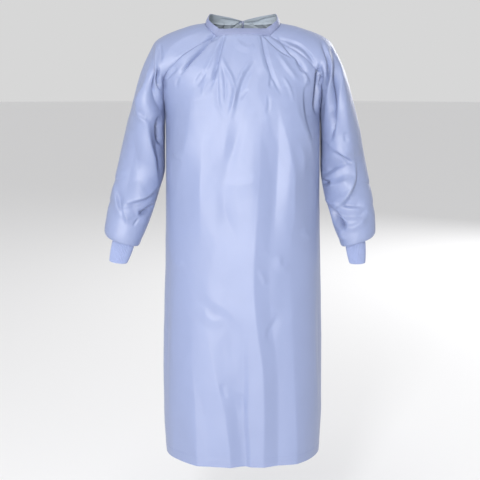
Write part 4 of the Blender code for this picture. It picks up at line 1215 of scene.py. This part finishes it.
def knot_line(surfaces, knot):
    """The straight line of both ties through a knot: its y at the knot, and its slope against z."""
    across = (TIE_WIDTH + KNOT_WRAP) * np.linspace(-1, 1, KNOT_RAYS[0])
    levels = knot[1] + KNOT_HEIGHT * np.linspace(-0.5, 0.5, KNOT_RAYS[1])
    heights = [max(back_y(surfaces, knot[0] + x, z) for x in across) for z in levels]
    slope = (heights[-1] - heights[0]) / KNOT_HEIGHT
    above = max(y - heights[0] - slope * (z - levels[0]) for y, z in zip(heights, levels))
    middle = (heights[0] + heights[-1]) / 2 + above
    return middle + 2 * TIE_CLEARANCE + TIE_THICKNESS / 2 + KNOT_WRAP, slope


def laid_on_back(route, surfaces, knot, line):
    """The centre points of a tie that lies on the back, and its two crosswise directions there."""
    directions = unit(np.gradient(route, axis=0))
    sideways = np.stack([-directions[:, 1], np.zeros(len(route)), directions[:, 0]], axis=1)
    highest = []
    for (x, z), side, direction in zip(route, sideways, directions):
        under = []
        for along in TIE_STEP * np.linspace(-1, 1, TIE_RAYS):
            for across in TIE_WIDTH * np.linspace(-0.5, 0.5, TIE_RAYS):
                under_x = x + along * direction[0] + across * side[0]
                under_z = z + along * direction[1] + across * side[2]
                under.append(back_y(surfaces, under_x, under_z))
        highest.append(max(under))
    highest = np.array(highest)
    beside = np.abs(route[:, 0] - knot[0]) - TIE_WIDTH
    beyond = np.abs(route[:, 1] - knot[1]) - KNOT_HEIGHT / 2
    in_knot = eased(2 - np.maximum(beside, beyond) / KNOT_BLEND)
    lying = highest + TIE_CLEARANCE + TIE_THICKNESS / 2
    y = lying + in_knot * (line[0] + line[1] * (route[:, 1] - knot[1]) - lying)
    centres = np.stack([route[:, 0], y, route[:, 1]], axis=1)
    outwards = unit(np.cross(sideways, np.gradient(centres, axis=0)))
    outwards *= np.sign(outwards[:, 1])[:, None]
    return centres, sideways, outwards


def tie_mesh(name, centres, sideways, outwards):
    """A tie of folded cloth: a soft flat strip with stitched-down edges."""
    rings = []
    for centre, side, out in zip(centres, sideways, outwards):
        rings.append([centre + side * TIE_WIDTH * u + out * TIE_THICKNESS * v for u, v in TIE_OUTLINE])
    return closed_loft(name, np.array(rings))


def closed_loft(name, rings):
    """A closed solid through rings of points, capped at both ends."""
    count, around = rings.shape[:2]
    faces = [tuple(range(around)), tuple((count - 1) * around + np.arange(around)[::-1])]
    for ring in range(count - 1):
        for corner in range(around):
            a = ring * around + corner
            b = ring * around + (corner + 1) % around
            faces.append((a, a + around, b + around, b))
    mesh = bpy.data.meshes.new(name)
    mesh.from_pydata(rings.reshape(-1, 3), [], faces)
    return facing_out(mesh)


def facing_out(mesh):
    """The mesh with its faces turned outwards."""
    edited = bmesh.new()
    edited.from_mesh(mesh)
    bmesh.ops.recalc_face_normals(edited, faces=edited.faces)
    edited.to_mesh(mesh)
    edited.free()
    mesh.shade_smooth()
    mesh.set_sharp_from_angle(angle=SHARP_ANGLE)
    return mesh


def knot_mesh(name, centre, down):
    """A knot as a creased wrap of cloth round both ties, which run down through it side by side."""
    across = np.array([1.0, 0.0, 0.0])
    out = np.cross(across, down)
    out *= np.sign(out[1]) / np.linalg.norm(out)
    inner_width = TIE_WIDTH + TIE_SIDE_GAP / 2 + TIE_CLEARANCE
    inner_depth = TIE_THICKNESS / 2 + TIE_CLEARANCE
    angle = 2 * math.pi * np.arange(KNOT_SIDES) / KNOT_SIDES
    u = np.cos(angle)
    v = np.sin(angle)
    square = np.maximum(np.abs(u), np.abs(v))
    rings = []
    for share in np.linspace(0, 1, KNOT_ROWS + 1):
        swell = KNOT_THINNEST + (1 - KNOT_THINNEST) * math.sin(math.pi * share) ** KNOT_FULLNESS
        creased = np.ones(KNOT_SIDES)
        for crease in KNOT_CREASES:
            waves = np.sin(crease.waves * angle + crease.slant * share)
            creased -= crease.depth * np.abs(waves) ** crease.narrowness
        wrap = KNOT_WRAP * swell * creased
        wide = (inner_width + wrap) * np.abs(u) ** KNOT_SQUARENESS * np.sign(u)
        deep = (inner_depth + wrap) * np.abs(v) ** KNOT_SQUARENESS * np.sign(v)
        middle = centre + down * KNOT_HEIGHT * (share - 0.5)
        rings.append(middle + wide[:, None] * across + deep[:, None] * out)
    inner = inner_width * (u / square)[:, None] * across + inner_depth * (v / square)[:, None] * out
    for share in np.linspace(1, 0, KNOT_ROWS + 1):
        rings.append(centre + down * KNOT_HEIGHT * (share - 0.5) + inner)
    rings = np.array(rings)
    count = len(rings)
    faces = []
    for ring in range(count):
        for place in range(KNOT_SIDES):
            a = ring * KNOT_SIDES + place
            b = ring * KNOT_SIDES + (place + 1) % KNOT_SIDES
            under = ((ring + 1) % count) * KNOT_SIDES - ring * KNOT_SIDES
            faces.append((a, b, b + under, a + under))
    mesh = bpy.data.meshes.new(name)
    mesh.from_pydata(rings.reshape(-1, 3), [], faces)
    return facing_out(mesh)


def neck_routes():
    """The neck ties, side by side through their knot and apart below it."""
    half = (TIE_WIDTH + TIE_SIDE_GAP) / 2
    first_bend, second_bend = NECK_TIE_BENDS
    routes = {}
    for name, side in (("neck_tie_left", 1), ("neck_tie_right", -1)):
        routes[name] = [
            (side * half, NECK_TIE_TOP),
            (side * half, first_bend),
            (side * (half + NECK_TIE_SPREAD), second_bend),
            (side * half + NECK_TIE_SPREAD, NECK_TIE_END),
        ]
    return (0.0, NECK_KNOT_Z), routes


def waist_routes():
    """The waist ties, each from where it is sewn on to the knot, then down."""
    half = (TIE_WIDTH + TIE_SIDE_GAP) / 2
    bend_z = WAIST_Z - WAIST_BEND
    knot = (WAIST_KNOT_X, bend_z - KNOT_HEIGHT / 2)
    routes = {}
    for name, side, start in (
        ("waist_tie_left", 1, WAIST_TIE_LEFT_START),
        ("waist_tie_right", -1, WAIST_TIE_RIGHT_START),
    ):
        straight_x = WAIST_KNOT_X + side * half
        bend = []
        for angle in np.radians(np.linspace(0, 90, WAIST_BEND_STEPS + 1)):
            x = straight_x + side * WAIST_BEND * (1 - math.sin(angle))
            bend.append((x, bend_z + WAIST_BEND * math.cos(angle)))
        tail = [
            (straight_x, bend_z - 2 * KNOT_HEIGHT),
            (straight_x + side * WAIST_TIE_SPREAD, bend_z - WAIST_TIE_SPREAD_DROP),
            (straight_x + side * WAIST_TIE_SPREAD, WAIST_Z - WAIST_TIE_DROP),
        ]
        routes[name] = [(start, WAIST_Z)] + bend + tail
    return knot, routes


def make_ties(surfaces, cloth):
    """Both pairs of ties, laid on the cloth's back, each pair with its knot."""
    for knot_name, (knot, routes) in (("neck_knot", neck_routes()), ("waist_knot", waist_routes())):
        line = knot_line(surfaces, knot)
        for name, corners in routes.items():
            centres, sideways, outwards = laid_on_back(stepped(corners), surfaces, knot, line)
            tie = link(name + "_cloth", tie_mesh(name + "_cloth", centres, sideways, outwards))
            tie.data.materials.append(cloth)
            declare(tie, "tie_cloth", name)
        down = unit(np.array([0.0, -line[1], -1.0]))
        centre = np.array([knot[0], line[0], knot[1]])
        wrap = link(knot_name + "_cloth", knot_mesh(knot_name + "_cloth", centre, down))
        wrap.data.materials.append(cloth)
        declare(wrap, "tie_cloth", knot_name)


def plain_material(name, finish):
    """A surface of one colour. Gives back the material, its node tree and its shader."""
    made = bpy.data.materials.new(name)
    made.use_nodes = True
    shader = made.node_tree.nodes["Principled BSDF"]
    shader.inputs["Base Color"].default_value = (*finish.colour, 1.0)
    shader.inputs["Roughness"].default_value = finish.roughness
    shader.inputs["Specular IOR Level"].default_value = finish.gloss
    shader.inputs["Specular Tint"].default_value = (*SHINE_COLOUR, 1.0)
    shader.inputs["Sheen Weight"].default_value = finish.sheen
    shader.inputs["Sheen Roughness"].default_value = SHEEN_ROUGHNESS
    return made, made.node_tree, shader


def wave(tree, places, axis, per_metre):
    """A ripple of that many threads a metre along one axis of the cloth."""
    ripple = tree.nodes.new("ShaderNodeTexWave")
    ripple.bands_direction = axis
    ripple.inputs["Scale"].default_value = per_metre / BANDS
    ripple.inputs["Distortion"].default_value = 0.0
    tree.links.new(places, ripple.inputs["Vector"])
    return ripple.outputs["Fac"]


def mathematics(tree, operation, first, second):
    node = tree.nodes.new("ShaderNodeMath")
    node.operation = operation
    for socket, value in zip(node.inputs, (first, second)):
        if isinstance(value, (int, float)):
            socket.default_value = value
        else:
            tree.links.new(value, socket)
    return node.outputs["Value"]


def bumped(tree, shader, height, distance, strength):
    bump = tree.nodes.new("ShaderNodeBump")
    bump.inputs["Strength"].default_value = strength
    bump.inputs["Distance"].default_value = distance
    tree.links.new(height, bump.inputs["Height"])
    tree.links.new(bump.outputs["Normal"], shader.inputs["Normal"])


def clouded(tree, shader, finish, scale):
    """A colour that varies a little over the cloth."""
    coordinates = tree.nodes.new("ShaderNodeTexCoord")
    clouds = tree.nodes.new("ShaderNodeTexNoise")
    clouds.inputs["Scale"].default_value = scale
    clouds.inputs["Detail"].default_value = CLOUD_DETAIL
    tree.links.new(coordinates.outputs["Object"], clouds.inputs["Vector"])
    mix = tree.nodes.new("ShaderNodeMix")
    mix.data_type = "RGBA"
    mix.inputs["A"].default_value = (*[value * (1 - finish.spread) for value in finish.colour], 1.0)
    mix.inputs["B"].default_value = (*[value * (1 + finish.spread) for value in finish.colour], 1.0)
    tree.links.new(clouds.outputs["Fac"], mix.inputs["Factor"])
    tree.links.new(mix.outputs["Result"], shader.inputs["Base Color"])


def thread_coordinates(tree):
    """How far across and down its cut piece each point of the cloth lies."""
    thread = tree.nodes.new("ShaderNodeAttribute")
    thread.attribute_name = "thread"
    return thread.outputs["Vector"]


def woven(name, finish, unrolled=True):
    """Woven cloth. Its threads follow the cut piece, or else run across and down in space."""
    made, tree, shader = plain_material(name, finish)
    if unrolled:
        places = thread_coordinates(tree)
    else:
        places = tree.nodes.new("ShaderNodeTexCoord").outputs["Object"]
    across = wave(tree, places, "X", THREADS_PER_METRE)
    down = wave(tree, places, "Y" if unrolled else "Z", THREADS_PER_METRE)
    height = mathematics(tree, "ADD", across, down)
    bumped(tree, shader, height, WEAVE_DEPTH, WEAVE_STRENGTH)
    clouded(tree, shader, finish, CLOTH_CLOUDS)
    return made


def knitted(name, finish):
    """Ribbed knit, with its small loops as bumps."""
    made, tree, shader = plain_material(name, finish)
    places = thread_coordinates(tree)
    across = wave(tree, places, "X", LOOPS_PER_METRE)
    down = wave(tree, places, "Y", LOOPS_PER_METRE)
    height = mathematics(tree, "MULTIPLY", across, down)
    bumped(tree, shader, height, LOOP_DEPTH, LOOP_STRENGTH)
    clouded(tree, shader, finish, KNIT_CLOUDS)
    return made


def make_camera():
    data = bpy.data.cameras.new("camera")
    data.lens = CAMERA_LENS_MM
    data.sensor_width = CAMERA_SENSOR_MM
    data.clip_end = CAMERA_REACH
    data.dof.use_dof = False
    camera = link("camera", data)
    camera.location = CAMERA_PLACE
    camera.rotation_euler = (math.pi / 2 - CAMERA_PITCH, 0.0, 0.0)
    bpy.context.scene.camera = camera


def make_light(name, place, size, power):
    """A soft box of that width and height, aimed at the middle of the gown."""
    data = bpy.data.lights.new(name, "AREA")
    data.shape = "RECTANGLE"
    data.size = size[0]
    data.size_y = size[1]
    data.energy = power
    light = link(name, data)
    light.location = place
    light.rotation_euler = (Vector(LIGHTS_AIM) - Vector(place)).to_track_quat("-Z", "Y").to_euler()


def make_studio():
    """A pale floor, even pale surroundings, and soft lights from the front left, the top and behind."""
    scene = bpy.context.scene
    scene.view_settings.view_transform = "Standard"
    scene.view_settings.look = "None"
    world = bpy.data.worlds.new("surroundings")
    world.use_nodes = True
    background = world.node_tree.nodes["Background"]
    background.inputs["Color"].default_value = WHITE
    background.inputs["Strength"].default_value = WORLD_STRENGTH
    scene.world = world
    make_light("key_light", KEY_PLACE, KEY_SIZE, KEY_POWER)
    make_light("top_light", TOP_PLACE, TOP_SIZE, TOP_POWER)
    make_light("back_light", BACK_PLACE, BACK_SIZE, BACK_POWER)
    bpy.ops.mesh.primitive_circle_add(
        vertices=FLOOR_SIDES, radius=FLOOR_RADIUS, fill_type="NGON", location=(0, 0, FLOOR_Z)
    )
    floor = bpy.context.object
    floor.name = "floor"
    floor.data.materials.append(plain_material("floor", FLOOR_FINISH)[0])


make_camera()
make_studio()
gown_cloth = woven("woven cloth", GOWN_FINISH)
band_cloth = woven("doubled woven cloth", BAND_FINISH)
# The inside of the cloth is partly its own paler colour and partly painted light that brightens its
# shade.
inside_cloth_with_painted_light = woven("inside of the cloth with painted light", INSIDE_FINISH_WITH_PAINTED_LIGHT)
knit = knitted("ribbed knit", KNIT_FINISH)
tie_cloth = woven("tie cloth", TIE_FINISH, unrolled=False)
thread = woven("sewing thread", THREAD_FINISH, unrolled=False)
gown = make_gown(gown_cloth, band_cloth, inside_cloth_with_painted_light, knit)
make_stitching(gown, thread)
backs = []
for name in ("back_panel_left", "back_panel_right", "neck_band"):
    backs.append(BVHTree.FromPolygons(gown[name].points.tolist(), gown[name].faces.tolist()))
make_ties(backs, tie_cloth)
